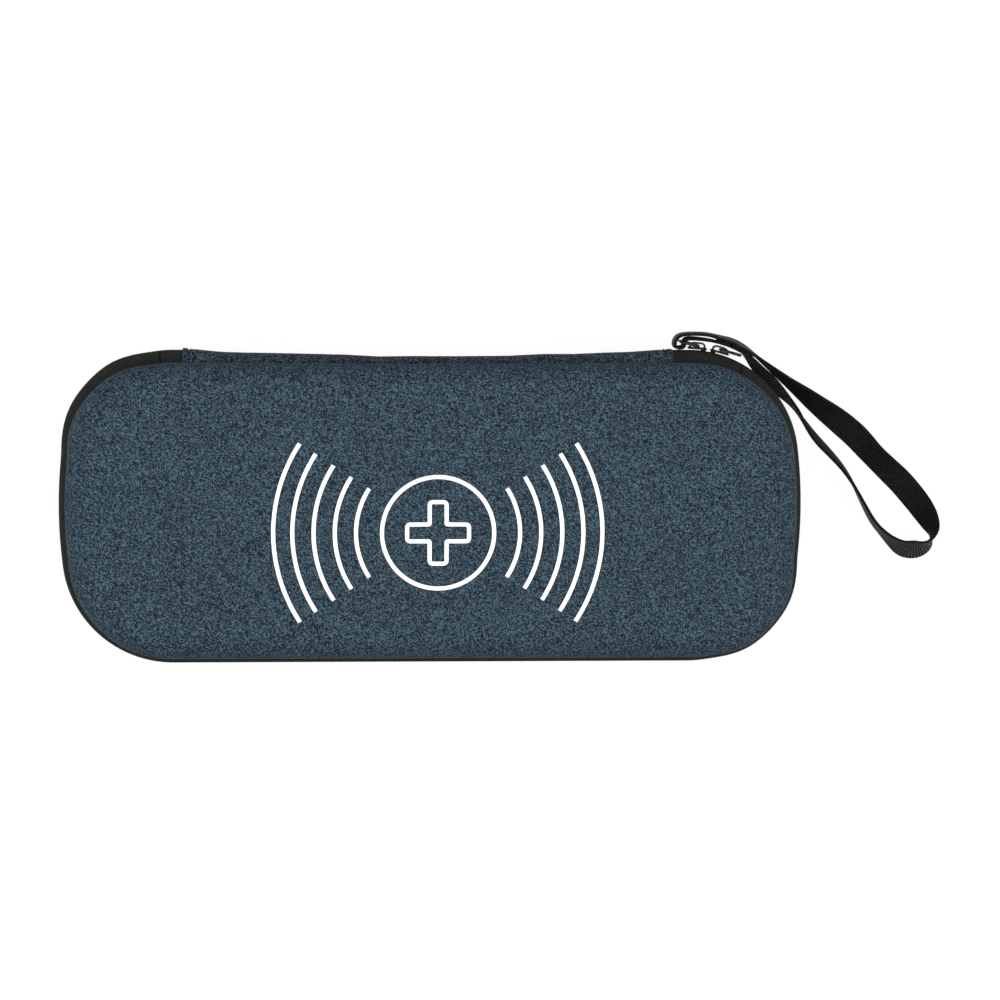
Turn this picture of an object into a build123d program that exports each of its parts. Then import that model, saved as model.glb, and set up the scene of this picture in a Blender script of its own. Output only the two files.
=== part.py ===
from build123d import *
from math import atan2, cos, degrees, radians, sin, sqrt, tan
import os

# A zipped hard case, closed and lying on its base. Millimetres, +Z up, +X along the
# length, +Y towards the fabric hinge. The origin is the middle of the underside.

# ---- the whole case ----
case_length = 285.0        # over the zip tape, end to end
case_width = 120.0         # over the zip tape, front to back
case_height = 56.0         # underside to the top of the raised print
corner_radius = 40.0       # rim outline at the four corners
end_radius = 180.0         # shallow bow of the two ends
draft = 4.0                # lean of the moulded walls, degrees

# ---- laminated walls ----
cover_thick = 0.8
shell_thick = 3.6
lining_thick = 0.6
lid_shoulder = 11.0        # rounding from the wall into the lid's face
base_shoulder = 9.0
rim_gap = 12.0             # height between the two rims, which the zip and hinge span

# ---- zip ----
tape_thick = 0.5
tape_flat = 3.6            # the tape stays flat this far from the middle of the zip
tape_hem = 3.4             # how far the tape runs in under the rim
coil_stand = 0.4           # the chain's back face stands this far outside the rim line
coil_thick = 1.5           # the chain lies behind the tape
coil_width = 1.55          # one half of the chain
coil_ease = 0.5            # bevel on the chain's outer edge
chain_gap = 1.1            # between the two halves, for the slider's divider
tongue_length = 8.0        # tape end tucked behind the hinge fabric
tongue_width = 2.4
tape_clearance = 0.2       # between the hinge fabric and the tape beside it
tape_end_angle = 62.0      # corner angle where the lid's loose tape end stops, right
tape_end_left = 8.0        # length of the lid's loose tape end at the left
part_line = 0.3            # gap between the lid's tape and its loose ends
lid_ease = 0.1             # gap between the lid and what stays with the base
slider_slack = 2.2         # from the end stop to the first slider
stop_length = 1.2
stop_width = 3.8

# ---- fabric hinge ----
hinge_short_left = 4.0     # the hinge ends this far before the straight side does
hinge_short_right = 6.6
hinge_over = 0.1           # between the hinge fabric and the tape's tucked end
hinge_thick = 0.5
hinge_lining_thick = 0.5
hinge_turn = 1.8           # height of the slope from the rim out to the bulge
hinge_pivot_out = 4.4      # the fold line lies this far outside the rim line

# ---- inner bindings ----
binding_height = 1.6
binding_over = 0.6         # stands in from the lining

# ---- raised print on the lid ----
print_raise = 0.4
print_line = 1.6
print_x, print_y = 1.7, -7.5
ring_radius = 22.0
plus_arm = 12.5
plus_width = 8.0
plus_round = 2.0           # outer corners of the plus
ripple_radii = (31.0, 39.0, 47.0, 55.0, 62.2)
ripple_spread = 33.0       # half angle of the ripple lines

# ---- mesh pocket in the lid ----
pocket_depth = 2.4         # from the rim up to the net
net_thick = 0.6
pocket_edge = 3.0          # width of the pocket's binding
pocket_edge_thick = 1.2
pocket_open = 19.6         # from the front rim back to the pocket's mouth
hem_width = 4.0
hem_thick = 1.8
net_pitch = 10.5
net_hole = 8.5
net_columns, net_rows = 22, 7

# ---- elastic keeper in the base ----
keeper_width = 25.0
keeper_thick = 1.0
keeper_height = 13.0       # above the underside
patch_width = 30.0
patch_height = 8.0
patch_thick = 0.8

# ---- sliders ----
slider_length = 7.6
plate_thick = 0.7
slider_clearance = 0.45    # round the chain and the tape
flange_thick = 0.7
flange_depth = 1.4
divider_thick = 0.5
divider_length = 2.0
slider_corner = 1.6
slider_a_angle = 85.7      # place on the back right corner, 90 is the straight side's end
slider_gap = 0.35          # between the two slider bodies
bridge_length = 6.4
bridge_width = 2.0
bridge_height = 2.05
bridge_thick = 0.6
pin_radius = 0.5
pin_rise = 0.73            # pin axis above the slider's outer plate

# ---- pullers ----
loop_thick = 1.1
loop_bar = 1.2
loop_arm = 1.0
puller_corner = 0.8        # rounding at the corners of both pullers
loop_reach = 6.9           # pin axis to the middle of the strap bar
loop_lift = 9.0            # degrees that the loop stands off the case
loop_room = 0.3            # beside the strap
tab_length = 8.5
tab_width = 4.6
tab_thick = 1.1
tab_slot = 2.6             # between the tab's arms, beside the bridge
tab_arm_length = 4.1       # pin axis to where the tab becomes solid
eye_back = 0.4             # the arms end this far behind the pin axis

# ---- wrist strap ----
strap_width = 10.0
strap_thick = 1.2
join_thick = 0.8
join_gap = 0.1
arc_share = 0.45           # of the shorter stretch beside a corner, taken by its arc
# The strap's middle line as it lies, from its sewn join, round the loop puller's bar,
# out to the far bend and back to the join: x, y, z and the lean of its width from
# upright, in degrees, positive where its top edge leans into the strap's own loop.
strap_route = [
    (114.3, 61.95, 27.85, 4), (108.9, 63.5, 28.0, 1), (103.5, 64.3, 28.0, 0),
    (98.9, 64.6, 28.0, 0), (97.0, 63.9, 28.0, 0), (97.1, 61.0, 28.0, 0),
    (93.3, 61.0, 28.0, 0), (93.4, 63.9, 28.0, 0), (95.4, 66.0, 28.0, 0),
    (100.5, 66.35, 28.0, 0), (106.3, 66.1, 28.0, 1), (111.6, 64.6, 28.0, 4),
    (115.5, 63.6, 28.0, 7), (119.4, 61.6, 27.8, 9), (123.3, 59.1, 27.2, 5),
    (128.9, 54.7, 26.2, -4), (135.5, 49.6, 23.4, -13), (142.5, 44.6, 18.6, -26),
    (150.8, 38.1, 12.5, -46), (158.4, 32.4, 7.5, -66), (163.4, 28.4, 4.2, -80),
    (168.2, 24.3, 2.4, -84), (174.3, 17.4, 3.0, -62), (180.0, 12.0, 2.4, -72),
    (185.6, 6.8, 1.2, -86), (190.3, 1.3, 1.8, -80), (193.9, -3.4, 3.0, -68),
    (196.7, -8.0, 4.4, -48), (198.2, -12.1, 5.3, -24), (197.8, -15.6, 5.6, 8),
    (195.5, -18.6, 5.2, 36), (191.7, -20.0, 4.5, 50), (187.3, -19.8, 4.4, 47),
    (183.0, -17.3, 5.2, 25), (179.0, -13.9, 5.5, 11), (174.4, -9.0, 5.6, 5),
    (170.4, -1.6, 5.6, 1), (166.9, 5.3, 5.6, -4), (162.5, 12.2, 5.6, -9),
    (157.0, 18.3, 5.6, -13), (151.1, 24.3, 6.2, -15), (146.0, 31.0, 9.0, -9),
    (142.4, 36.2, 12.6, 2), (137.9, 40.6, 16.5, 12), (133.8, 44.9, 20.0, 20),
    (129.9, 49.0, 22.9, 24), (125.9, 53.0, 24.9, 17), (122.0, 57.8, 26.4, 5),
    (119.6, 59.7, 27.2, 4), (114.9, 61.75, 27.8, 4),
]

# ---- worked out from the sizes above ----
tape_stand = coil_stand + coil_thick
tape_front = tape_stand + tape_thick
rim_half_length = case_length / 2 - tape_front
rim_half_width = case_width / 2 - tape_front
corner_y = rim_half_width - corner_radius
end_x = rim_half_length - end_radius
corner_x = end_x + sqrt((end_radius - corner_radius) ** 2 - corner_y ** 2)
end_swing = degrees(atan2(corner_y, corner_x - end_x))
hinge_left = hinge_short_left - corner_x
hinge_right = corner_x - hinge_short_right
hinge_bulge = tape_front + hinge_over + hinge_thick
pocket_mouth_y = pocket_open - rim_half_width
zip_z = case_height / 2
half_gap = rim_gap / 2
lid_rim_z = zip_z + half_gap
base_rim_z = zip_z - half_gap
lid_depth = case_height - print_raise - lid_rim_z
base_depth = base_rim_z
wall = cover_thick + shell_thick + lining_thick
chain_half = chain_gap / 2
half_slot = chain_half + coil_width + slider_clearance
slider_width = 2 * (half_slot + flange_thick)
plate_front = tape_front + slider_clearance + plate_thick
plate_back = coil_stand - slider_clearance - plate_thick
pin_out = plate_front + pin_rise
slider_step = degrees((slider_length + slider_gap) / (corner_radius + plate_back))
slider_b_angle = slider_a_angle - slider_step


# ---- shapes used by several pieces ----
def rim_face(inset):
    """The case's outline, a distance inside the rim line."""
    side, bend, bow = rim_half_width - inset, corner_radius - inset, end_radius - inset
    turn = 90 - end_swing
    with BuildSketch(mode=Mode.PRIVATE) as outline:
        with BuildLine():
            Line((-corner_x, -side), (corner_x, -side))
            CenterArc((corner_x, -corner_y), bend, -90, turn)
            CenterArc((end_x, 0), bow, -end_swing, 2 * end_swing)
            CenterArc((corner_x, corner_y), bend, end_swing, turn)
            Line((corner_x, side), (-corner_x, side))
            CenterArc((-corner_x, corner_y), bend, 90, turn)
            CenterArc((-end_x, 0), bow, 180 - end_swing, 2 * end_swing)
            CenterArc((-corner_x, -corner_y), bend, 180 + end_swing, turn)
        make_face()
    return outline.sketch


def tray_block(inset, depth, shoulder, up):
    """A solid tray: drafted walls from the rim to a flat face with a rounded edge."""
    rim = Plane((0, 0, lid_rim_z)) if up else Plane((0, 0, base_rim_z), (1, 0, 0), (0, 0, -1))
    with BuildPart() as block:
        with BuildSketch(rim):
            add(rim_face(inset))
        extrude(amount=depth - inset, taper=draft)
        face = block.faces().filter_by(Axis.Z).sort_by(Axis.Z)[-1 if up else 0]
        fillet(face.edges(), shoulder - inset)
    return block.part


def rim_ring(outer, inner, low, high):
    """A closed band round the case between two insets and two heights."""
    with BuildPart() as ring:
        with BuildSketch(Plane.XY.offset(low)):
            add(rim_face(outer))
            add(rim_face(inner), mode=Mode.SUBTRACT)
        extrude(amount=high - low)
    return ring.part


def slab(x_low, x_high, y_low, y_high, z_low, z_high):
    """A plain block between two corners."""
    with BuildPart() as block:
        with Locations(((x_low + x_high) / 2, (y_low + y_high) / 2, (z_low + z_high) / 2)):
            Box(x_high - x_low, y_high - y_low, z_high - z_low)
    return block.part


def corner_spot(angle, out=0.0):
    """A point beside the back right corner, by its angle and distance out of the rim."""
    reach = corner_radius + out
    return (corner_x + reach * cos(radians(angle)), corner_y + reach * sin(radians(angle)))


def zip_route(right_x=None, right_angle=90.0, left_angle=90.0, left_x=None):
    """The zip's line at the rim, from the back right, round the front, to the back left."""
    turn = 90 - end_swing
    with BuildLine(Plane.XY.offset(zip_z)) as route:
        if right_x is not None:
            Line((right_x, rim_half_width), (corner_x, rim_half_width))
        CenterArc((corner_x, corner_y), corner_radius, right_angle, end_swing - right_angle)
        CenterArc((end_x, 0), end_radius, end_swing, -2 * end_swing)
        CenterArc((corner_x, -corner_y), corner_radius, -end_swing, -turn)
        Line((corner_x, -rim_half_width), (-corner_x, -rim_half_width))
        CenterArc((-corner_x, -corner_y), corner_radius, 270, -turn)
        CenterArc((-end_x, 0), end_radius, 180 + end_swing, -2 * end_swing)
        CenterArc((-corner_x, corner_y), corner_radius, 180 - end_swing,
                  left_angle - 180 + end_swing)
        if left_x is not None:
            Line((-corner_x, rim_half_width), (left_x, rim_half_width))
    return route.line


def lead_route(side, inner_x, angle):
    """A short stretch of zip, from beside the hinge to an angle on a back corner."""
    with BuildLine(Plane.XY.offset(zip_z)) as route:
        Line((inner_x, rim_half_width), (side * corner_x, rim_half_width))
        CenterArc((side * corner_x, corner_y), corner_radius, 90, side * (angle - 90))
    return route.line


def zip_strip(outline, route):
    """One closed outline, given as (out of the rim, height), carried along a route."""
    heading = route % 0
    start = route @ 0
    out = heading.cross(Vector(0, 0, -1)).normalized()
    if out.Y < 0:
        out = -out
    flip = 1 if heading.cross(out).Z > 0 else -1
    with BuildPart() as strip:
        with BuildLine(Plane.XY) as path:
            add(route)
        with BuildSketch(Plane(start, out, heading)):
            with BuildLine():
                Polyline(*[(across, flip * up) for across, up in outline], close=True)
            make_face()
        sweep(path=path.line)
    return strip.part


def tape_outline(side, top):
    """One half of the zip tape: flat over the chain, then in under the rim."""
    slope_back = tape_flat - tape_thick / 2
    points = [
        (tape_stand, chain_half), (tape_front, chain_half), (tape_front, tape_flat),
        (coil_stand, top), (-tape_hem, top), (-tape_hem, top - tape_thick),
        (-coil_stand / 2, top - tape_thick), (tape_stand, slope_back),
    ]
    return [(across, side * up) for across, up in points]


def coil_outline(side):
    """One half of the zip chain, behind the tape, with its inner edge eased."""
    top = chain_half + coil_width
    points = [
        (tape_stand, chain_half), (coil_stand, chain_half), (coil_stand, top - coil_ease),
        (coil_stand + coil_ease, top), (tape_stand, top),
    ]
    return [(across, side * up) for across, up in points]


def tongue(side_x, side_z):
    """A tape's flat end, tucked behind the hinge fabric."""
    outer_x = hinge_right + tape_clearance if side_x > 0 else hinge_left - tape_clearance
    inner_x = outer_x - side_x * tongue_length
    low, high = sorted((zip_z + side_z * chain_half,
                        zip_z + side_z * (chain_half + tongue_width)))
    front, back = rim_half_width + tape_front, rim_half_width + tape_stand
    return slab(min(inner_x, outer_x), max(inner_x, outer_x), back, front, low, high)


def slider_plane(angle):
    """A slider's own frame: X along the zip, Y up, Z out of the case."""
    x, y = corner_spot(angle)
    across = radians(angle)
    return Plane((x, y, zip_z), (sin(across), -cos(across), 0), (cos(across), sin(across), 0))


def slider_body(angle, front):
    """A slider: two plates on the chain, joined by the divider at its front end."""
    home = slider_plane(angle)
    inner_face = tape_front + slider_clearance
    with BuildPart() as body:
        for low in (plate_back, inner_face):
            with BuildSketch(home.offset(low)):
                RectangleRounded(slider_length, slider_width, slider_corner)
            extrude(amount=plate_thick)
        with BuildSketch(home.offset(plate_back + plate_thick)):
            for side in (-1, 1):
                with Locations((0, side * (half_slot + flange_thick / 2))):
                    Rectangle(slider_length - 2 * slider_corner, flange_thick)
        extrude(amount=flange_depth)
        divider_x = front * (slider_length / 2 - divider_length / 2 - flange_thick / 2)
        with BuildSketch(home.offset(plate_back + plate_thick)):
            with Locations((divider_x, 0)):
                SlotOverall(divider_length, divider_thick)
        extrude(amount=inner_face - plate_back - plate_thick)
    return body.part


def side_view(angle, half_width):
    """A slider's frame from above: X along the zip, Y out of the case."""
    home = slider_plane(angle)
    return Plane(home.origin + home.y_dir * half_width, home.x_dir, -home.y_dir)


def slider_bridge(angle):
    """The arched bridge on a slider's outer plate, which holds the puller's pin."""
    top = plate_front + bridge_height
    half = bridge_length / 2
    inside = half - bridge_thick
    with BuildPart() as bridge:
        with BuildSketch(side_view(angle, bridge_width / 2)):
            with BuildLine():
                Polyline((-half, plate_front), (half, plate_front),
                         (inside, top), (-inside, top), close=True)
            make_face()
            fillet(vertices().group_by(Axis.Y)[-1], bridge_thick)
            with BuildLine():
                Polyline((-inside, plate_front), (inside, plate_front),
                         (inside - bridge_thick, top - bridge_thick),
                         (bridge_thick - inside, top - bridge_thick), close=True)
            make_face(mode=Mode.SUBTRACT)
        extrude(amount=bridge_width)
    return bridge.part


def puller(angle, direction, lift, reach, opening, arm, end, thick):
    """A frame on a pin under the bridge: two arms and a solid end, seen edge on from above."""
    home = slider_plane(angle)
    pin_axis = home.origin + home.z_dir * pin_out
    tilt = radians(lift)
    along = home.x_dir * (direction * cos(tilt)) + home.z_dir * sin(tilt)
    flat = Plane(pin_axis, along, along.cross(home.y_dir))
    half = opening / 2 + arm
    with BuildPart() as pull:
        with BuildSketch(flat.offset(-thick / 2)):
            with Locations(((reach - eye_back) / 2, 0)):
                RectangleRounded(reach + eye_back, 2 * half, puller_corner)
            with Locations(((reach - end - eye_back) / 2 - arm / 2, 0)):
                Rectangle(reach - end + eye_back + arm, opening, mode=Mode.SUBTRACT)
        extrude(amount=thick)
        with BuildSketch(Plane(pin_axis - home.y_dir * half, home.x_dir, home.y_dir)):
            Circle(pin_radius)
        extrude(amount=2 * half)
    return pull.part


# ---- moulded trays: fabric cover, foam shell and lining, each fitting the next ----
lid_layers = [tray_block(inset, lid_depth, lid_shoulder, True)
              for inset in (0, cover_thick, cover_thick + shell_thick, wall)]
base_layers = [tray_block(inset, base_depth, base_shoulder, False)
               for inset in (0, cover_thick, cover_thick + shell_thick, wall)]

with BuildPart() as lid_cover:
    add(lid_layers[0])
    add(lid_layers[1], mode=Mode.SUBTRACT)

with BuildPart() as lid_shell:
    add(lid_layers[1])
    add(lid_layers[2], mode=Mode.SUBTRACT)

with BuildPart() as lid_lining:
    add(lid_layers[2])
    add(lid_layers[3], mode=Mode.SUBTRACT)

with BuildPart() as base_cover:
    add(base_layers[0])
    add(base_layers[1], mode=Mode.SUBTRACT)

with BuildPart() as base_shell:
    add(base_layers[1])
    add(base_layers[2], mode=Mode.SUBTRACT)

with BuildPart() as base_lining:
    add(base_layers[2])
    add(base_layers[3], mode=Mode.SUBTRACT)

# ---- bindings that cover the sewn rims inside ----
with BuildPart() as lid_binding:
    add(rim_ring(tape_hem, wall + binding_over, lid_rim_z - binding_height, lid_rim_z))

with BuildPart() as base_binding:
    add(rim_ring(tape_hem, wall + binding_over, base_rim_z, base_rim_z + binding_height))

# ---- zip tapes and chain; the lid's loose ends stay with the sliders and the hinge ----
right_side = hinge_right + tape_clearance
left_side = hinge_left - tape_clearance
end_split = degrees(part_line / corner_radius)
left_end_angle = 90 + degrees((tape_end_left - (corner_x + left_side)) / corner_radius)
coil_right = corner_spot(slider_a_angle)[0] - slider_length / 2 - slider_slack
coil_left = left_side - stop_length
base_run = zip_route(right_x=right_side, left_x=left_side)
lid_run = zip_route(right_angle=tape_end_angle - end_split, left_angle=left_end_angle + end_split)
right_lead = lead_route(1, right_side, tape_end_angle)
left_lead = lead_route(-1, left_side, 180 - left_end_angle)

with BuildPart() as zip_tape_base:
    add(zip_strip(tape_outline(-1, half_gap), base_run))
    add(tongue(1, -1))
    add(tongue(-1, -1))

with BuildPart() as zip_coil_base:
    add(zip_strip(coil_outline(-1), zip_route(right_x=coil_right, left_x=coil_left)))

with BuildPart() as zip_tape_lid:
    add(zip_strip(tape_outline(1, half_gap), lid_run))

with BuildPart() as zip_coil_lid:
    add(zip_strip(coil_outline(1), lid_run))

with BuildPart() as zip_tape_lid_right_end:
    add(zip_strip(tape_outline(1, half_gap - lid_ease), right_lead))
    add(tongue(1, 1))

with BuildPart() as zip_tape_lid_left_end:
    add(zip_strip(tape_outline(1, half_gap - lid_ease), left_lead))
    add(tongue(-1, 1))

with BuildPart() as zip_coil_lid_right_end:
    add(zip_strip(coil_outline(1), lead_route(1, coil_right, tape_end_angle)))

with BuildPart() as zip_coil_lid_left_end:
    add(zip_strip(coil_outline(1), lead_route(-1, coil_left, 180 - left_end_angle)))


def zip_stop(x_low):
    """The moulded stop that closes one end of the chain."""
    back = rim_half_width + coil_stand
    return slab(x_low, x_low + stop_length, back, back + coil_thick,
                zip_z - stop_width / 2, zip_z + stop_width / 2)


with BuildPart() as zip_stop_right:
    add(zip_stop(coil_right - stop_length))

with BuildPart() as zip_stop_left:
    add(zip_stop(coil_left))


# ---- fabric hinge at the back ----
def hinge_side(lift, layers_in, thick):
    """Half of the hinge's cross-section: its outer and its inner line, from the rim down."""
    out, foot = hinge_bulge - layers_in, coil_stand - layers_in
    outer = [(-tape_hem, lift), (foot, lift), (out, lift - hinge_turn)]
    inner = [(-tape_hem, lift - thick), (foot - thick / 2, lift - thick),
             (out - thick, lift - hinge_turn - thick / 2)]
    return outer, inner


def hinge_strip(x_low, x_high, layers_in, thick):
    """The hinge's cross-section, a shallow C between the rims, carried along X."""
    outer, inner = hinge_side(half_gap - layers_in - lid_ease, layers_in, thick)
    base_outer, base_inner = hinge_side(half_gap - layers_in, layers_in, thick)
    shape = outer + [(y, -z) for y, z in reversed(base_outer)]
    shape += [(y, -z) for y, z in base_inner] + inner[::-1]
    with BuildPart() as strip:
        with BuildSketch(Plane((x_low, rim_half_width, zip_z), (0, 1, 0), (1, 0, 0))):
            with BuildLine():
                Polyline(*shape, close=True)
            make_face()
        extrude(amount=x_high - x_low)
    return strip.part


with BuildPart() as hinge_gusset:
    add(hinge_strip(hinge_left, hinge_right, 0, hinge_thick))

with BuildPart() as hinge_lining:
    add(hinge_strip(hinge_left + tongue_length + 2 * tape_clearance,
                    hinge_right - tongue_length - 2 * tape_clearance,
                    hinge_thick, hinge_lining_thick))

# ---- raised line print on the lid: a plus in a ring, with ripples to both sides ----
with BuildPart() as lid_print:
    with BuildSketch(Plane.XY.offset(case_height - print_raise)):
        with Locations((print_x, print_y)):
            Circle(ring_radius)
            Circle(ring_radius - print_line, mode=Mode.SUBTRACT)
            for length, height in ((2 * plus_arm, plus_width), (plus_width, 2 * plus_arm)):
                RectangleRounded(length, height, plus_round)
            for length, height in ((2 * plus_arm, plus_width), (plus_width, 2 * plus_arm)):
                RectangleRounded(length - 2 * print_line, height - 2 * print_line,
                                 plus_round - print_line / 2, mode=Mode.SUBTRACT)
        with BuildLine():
            for radius in ripple_radii:
                for middle in (0, 180):
                    CenterArc((print_x, print_y), radius, middle - ripple_spread,
                              2 * ripple_spread)
        trace(line_width=print_line)
    extrude(amount=print_raise)

# ---- mesh pocket sewn into the lid ----
pocket_low = lid_rim_z + pocket_depth
pocket_back = rim_half_width
pocket_zone = slab(-case_length / 2, case_length / 2, pocket_mouth_y, pocket_back,
                   pocket_low, pocket_low + pocket_edge_thick)
net_low = pocket_low + (pocket_edge_thick - net_thick) / 2

with BuildPart() as pocket_binding:
    add(lid_layers[3])
    add(pocket_zone, mode=Mode.INTERSECT)
    add(rim_ring(-wall, wall + pocket_edge, pocket_low, pocket_low + pocket_edge_thick),
        mode=Mode.INTERSECT)

with BuildPart() as pocket_net:
    with BuildSketch(Plane.XY.offset(net_low)):
        add(rim_face(wall + pocket_edge))
        with Locations((0, pocket_mouth_y - case_width / 2)):
            Rectangle(case_length, case_width, mode=Mode.SUBTRACT)
        with Locations((0, (pocket_mouth_y + rim_half_width - wall - pocket_edge) / 2)):
            with GridLocations(net_pitch, net_pitch, net_columns, net_rows):
                RegularPolygon(net_hole / 2, 6, mode=Mode.SUBTRACT)
    extrude(amount=net_thick)

with BuildPart() as pocket_hem:
    add(lid_layers[3])
    add(slab(-case_length / 2, case_length / 2, pocket_mouth_y - hem_width, pocket_mouth_y,
             pocket_low, pocket_low + hem_thick), mode=Mode.INTERSECT)

# ---- elastic keeper across the base, with its sewn patches ----
keeper_low = keeper_height - keeper_thick / 2
patch_face = tray_block(wall + patch_thick, base_depth, base_shoulder, False)


def keeper_patch(side):
    """A reinforcing patch on the base's long wall, following its lean."""
    reach = sorted((0, side * case_width / 2))
    zone = slab(-patch_width / 2, patch_width / 2, *reach,
                keeper_height - patch_height / 2, keeper_height + patch_height / 2)
    with BuildPart() as patch:
        add(base_layers[3])
        add(zone, mode=Mode.INTERSECT)
        add(patch_face, mode=Mode.SUBTRACT)
    return patch.part


with BuildPart() as keeper_patch_front:
    add(keeper_patch(-1))

with BuildPart() as keeper_patch_back:
    add(keeper_patch(1))

with BuildPart() as keeper_band:
    add(patch_face)
    add(slab(-keeper_width / 2, keeper_width / 2, -case_width / 2, case_width / 2,
             keeper_low, keeper_low + keeper_thick), mode=Mode.INTERSECT)

# ---- two sliders, face to face, and their pullers ----
with BuildPart() as slider_a_body:
    add(slider_body(slider_a_angle, 1))

with BuildPart() as slider_a_bridge:
    add(slider_bridge(slider_a_angle))

with BuildPart() as slider_b_body:
    add(slider_body(slider_b_angle, -1))

with BuildPart() as slider_b_bridge:
    add(slider_bridge(slider_b_angle))

with BuildPart() as puller_a:
    add(puller(slider_a_angle, -1, loop_lift, loop_reach + loop_bar / 2,
               strap_width + 2 * loop_room, loop_arm, loop_bar, loop_thick))

with BuildPart() as puller_b:
    add(puller(slider_b_angle, 1, 0, tab_length, tab_slot, (tab_width - tab_slot) / 2,
               tab_length - tab_arm_length, tab_thick))


# ---- wrist strap ----
def strap_stations(route):
    """Places along the strap: the ends, and where each corner's arc starts, peaks and ends."""
    points = [Vector(x, y, z) for x, y, z, _ in route]
    leans = [lean for _, _, _, lean in route]
    stations = [(points[0], (points[1] - points[0]).normalized(), leans[0])]
    radii = []
    for i in range(1, len(points) - 1):
        back, ahead = points[i] - points[i - 1], points[i + 1] - points[i]
        shorter = arc_share * min(back.length, ahead.length)
        turn = radians(back.get_angle(ahead))
        radius = shorter / tan(turn / 2)
        radii.append(radius)
        before, after = back.normalized(), ahead.normalized()
        peak = (after - before).normalized() * (radius * (1 / cos(turn / 2) - 1))
        lean_in = leans[i] + (leans[i - 1] - leans[i]) * shorter / back.length
        lean_out = leans[i] + (leans[i + 1] - leans[i]) * shorter / ahead.length
        stations.append((points[i] - before * shorter, before, lean_in))
        stations.append((points[i] + peak, (before + after).normalized(), leans[i]))
        stations.append((points[i] + after * shorter, after, lean_out))
    stations.append((points[-1], (points[-1] - points[-2]).normalized(), leans[-1]))
    return stations, radii


def strap_plane(place, heading, lean, beside=0.0):
    """The strap's cross-section plane: X across its width, Y through its thickness."""
    right = heading.cross(Vector(0, 0, 1)).normalized()
    upright = right.cross(heading)
    across = upright * cos(radians(lean)) + right * sin(radians(lean))
    flat = Plane(place, across, heading)
    return Plane(place + flat.y_dir * beside, across, heading)


strap_places, strap_radii = strap_stations(strap_route)
strap_length = sum((b[0] - a[0]).length for a, b in zip(strap_places, strap_places[1:]))

with BuildPart() as wrist_strap:
    for place, heading, lean in strap_places:
        with BuildSketch(strap_plane(place, heading, lean)):
            Rectangle(strap_width, strap_thick)
    loft(ruled=True)

# the sewn overlap, a second ply on the outer face where the strap's two ends meet
with BuildPart() as strap_join:
    for place, heading, lean in (strap_places[-2], strap_places[-1], strap_places[1]):
        with BuildSketch(strap_plane(place, heading, lean,
                                     (strap_thick + join_thick) / 2 + join_gap)):
            Rectangle(strap_width, join_thick)
    loft(ruled=True)

# ---- write every piece ----
pieces = {
    "lid_cover": lid_cover, "lid_shell": lid_shell, "lid_lining": lid_lining,
    "lid_binding": lid_binding, "lid_print": lid_print, "pocket_net": pocket_net,
    "pocket_binding": pocket_binding, "pocket_hem": pocket_hem,
    "base_cover": base_cover, "base_shell": base_shell, "base_lining": base_lining,
    "base_binding": base_binding, "keeper_band": keeper_band,
    "keeper_patch_front": keeper_patch_front, "keeper_patch_back": keeper_patch_back,
    "zip_tape_base": zip_tape_base, "zip_coil_base": zip_coil_base,
    "zip_tape_lid": zip_tape_lid, "zip_coil_lid": zip_coil_lid,
    "zip_tape_lid_right_end": zip_tape_lid_right_end,
    "zip_tape_lid_left_end": zip_tape_lid_left_end,
    "zip_coil_lid_right_end": zip_coil_lid_right_end,
    "zip_coil_lid_left_end": zip_coil_lid_left_end,
    "zip_stop_right": zip_stop_right, "zip_stop_left": zip_stop_left,
    "hinge_gusset": hinge_gusset, "hinge_lining": hinge_lining,
    "slider_a_body": slider_a_body, "slider_a_bridge": slider_a_bridge,
    "slider_b_body": slider_b_body, "slider_b_bridge": slider_b_bridge,
    "puller_a": puller_a, "puller_b": puller_b,
    "wrist_strap": wrist_strap, "strap_join": strap_join,
}
os.makedirs("parts", exist_ok=True)
for name, piece in pieces.items():
    piece.part.label = name
    export_step(piece.part, f"parts/{name}.step")

print("strap length", round(strap_length, 1), "tightest arcs", sorted(strap_radii)[:4])
print("strap volume", round(wrist_strap.part.volume, 1), "of",
      round(strap_width * strap_thick * strap_length, 1))
print("hinge fold at y", round(rim_half_width + hinge_pivot_out, 2), "z", zip_z)
print("slider arc centre", round(corner_x, 2), round(corner_y, 2), "angles",
      slider_a_angle, round(slider_b_angle, 2))
for name, angle in (("loop", slider_a_angle), ("tab", slider_b_angle)):
    print(name, "puller pin at", [round(value, 3) for value in corner_spot(angle, pin_out)])
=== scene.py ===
"""The looks of a zipped hard case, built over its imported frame.

Sizes and points are in millimetres until a mesh is made, which turns them into metres.
The case lies on its base: +X along it, +Y towards the fabric hinge, +Z up through the lid.
"""

import logging
import math
from dataclasses import dataclass, field
from enum import Enum

import bpy
import numpy as np
from mathutils import Matrix, Vector

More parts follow.
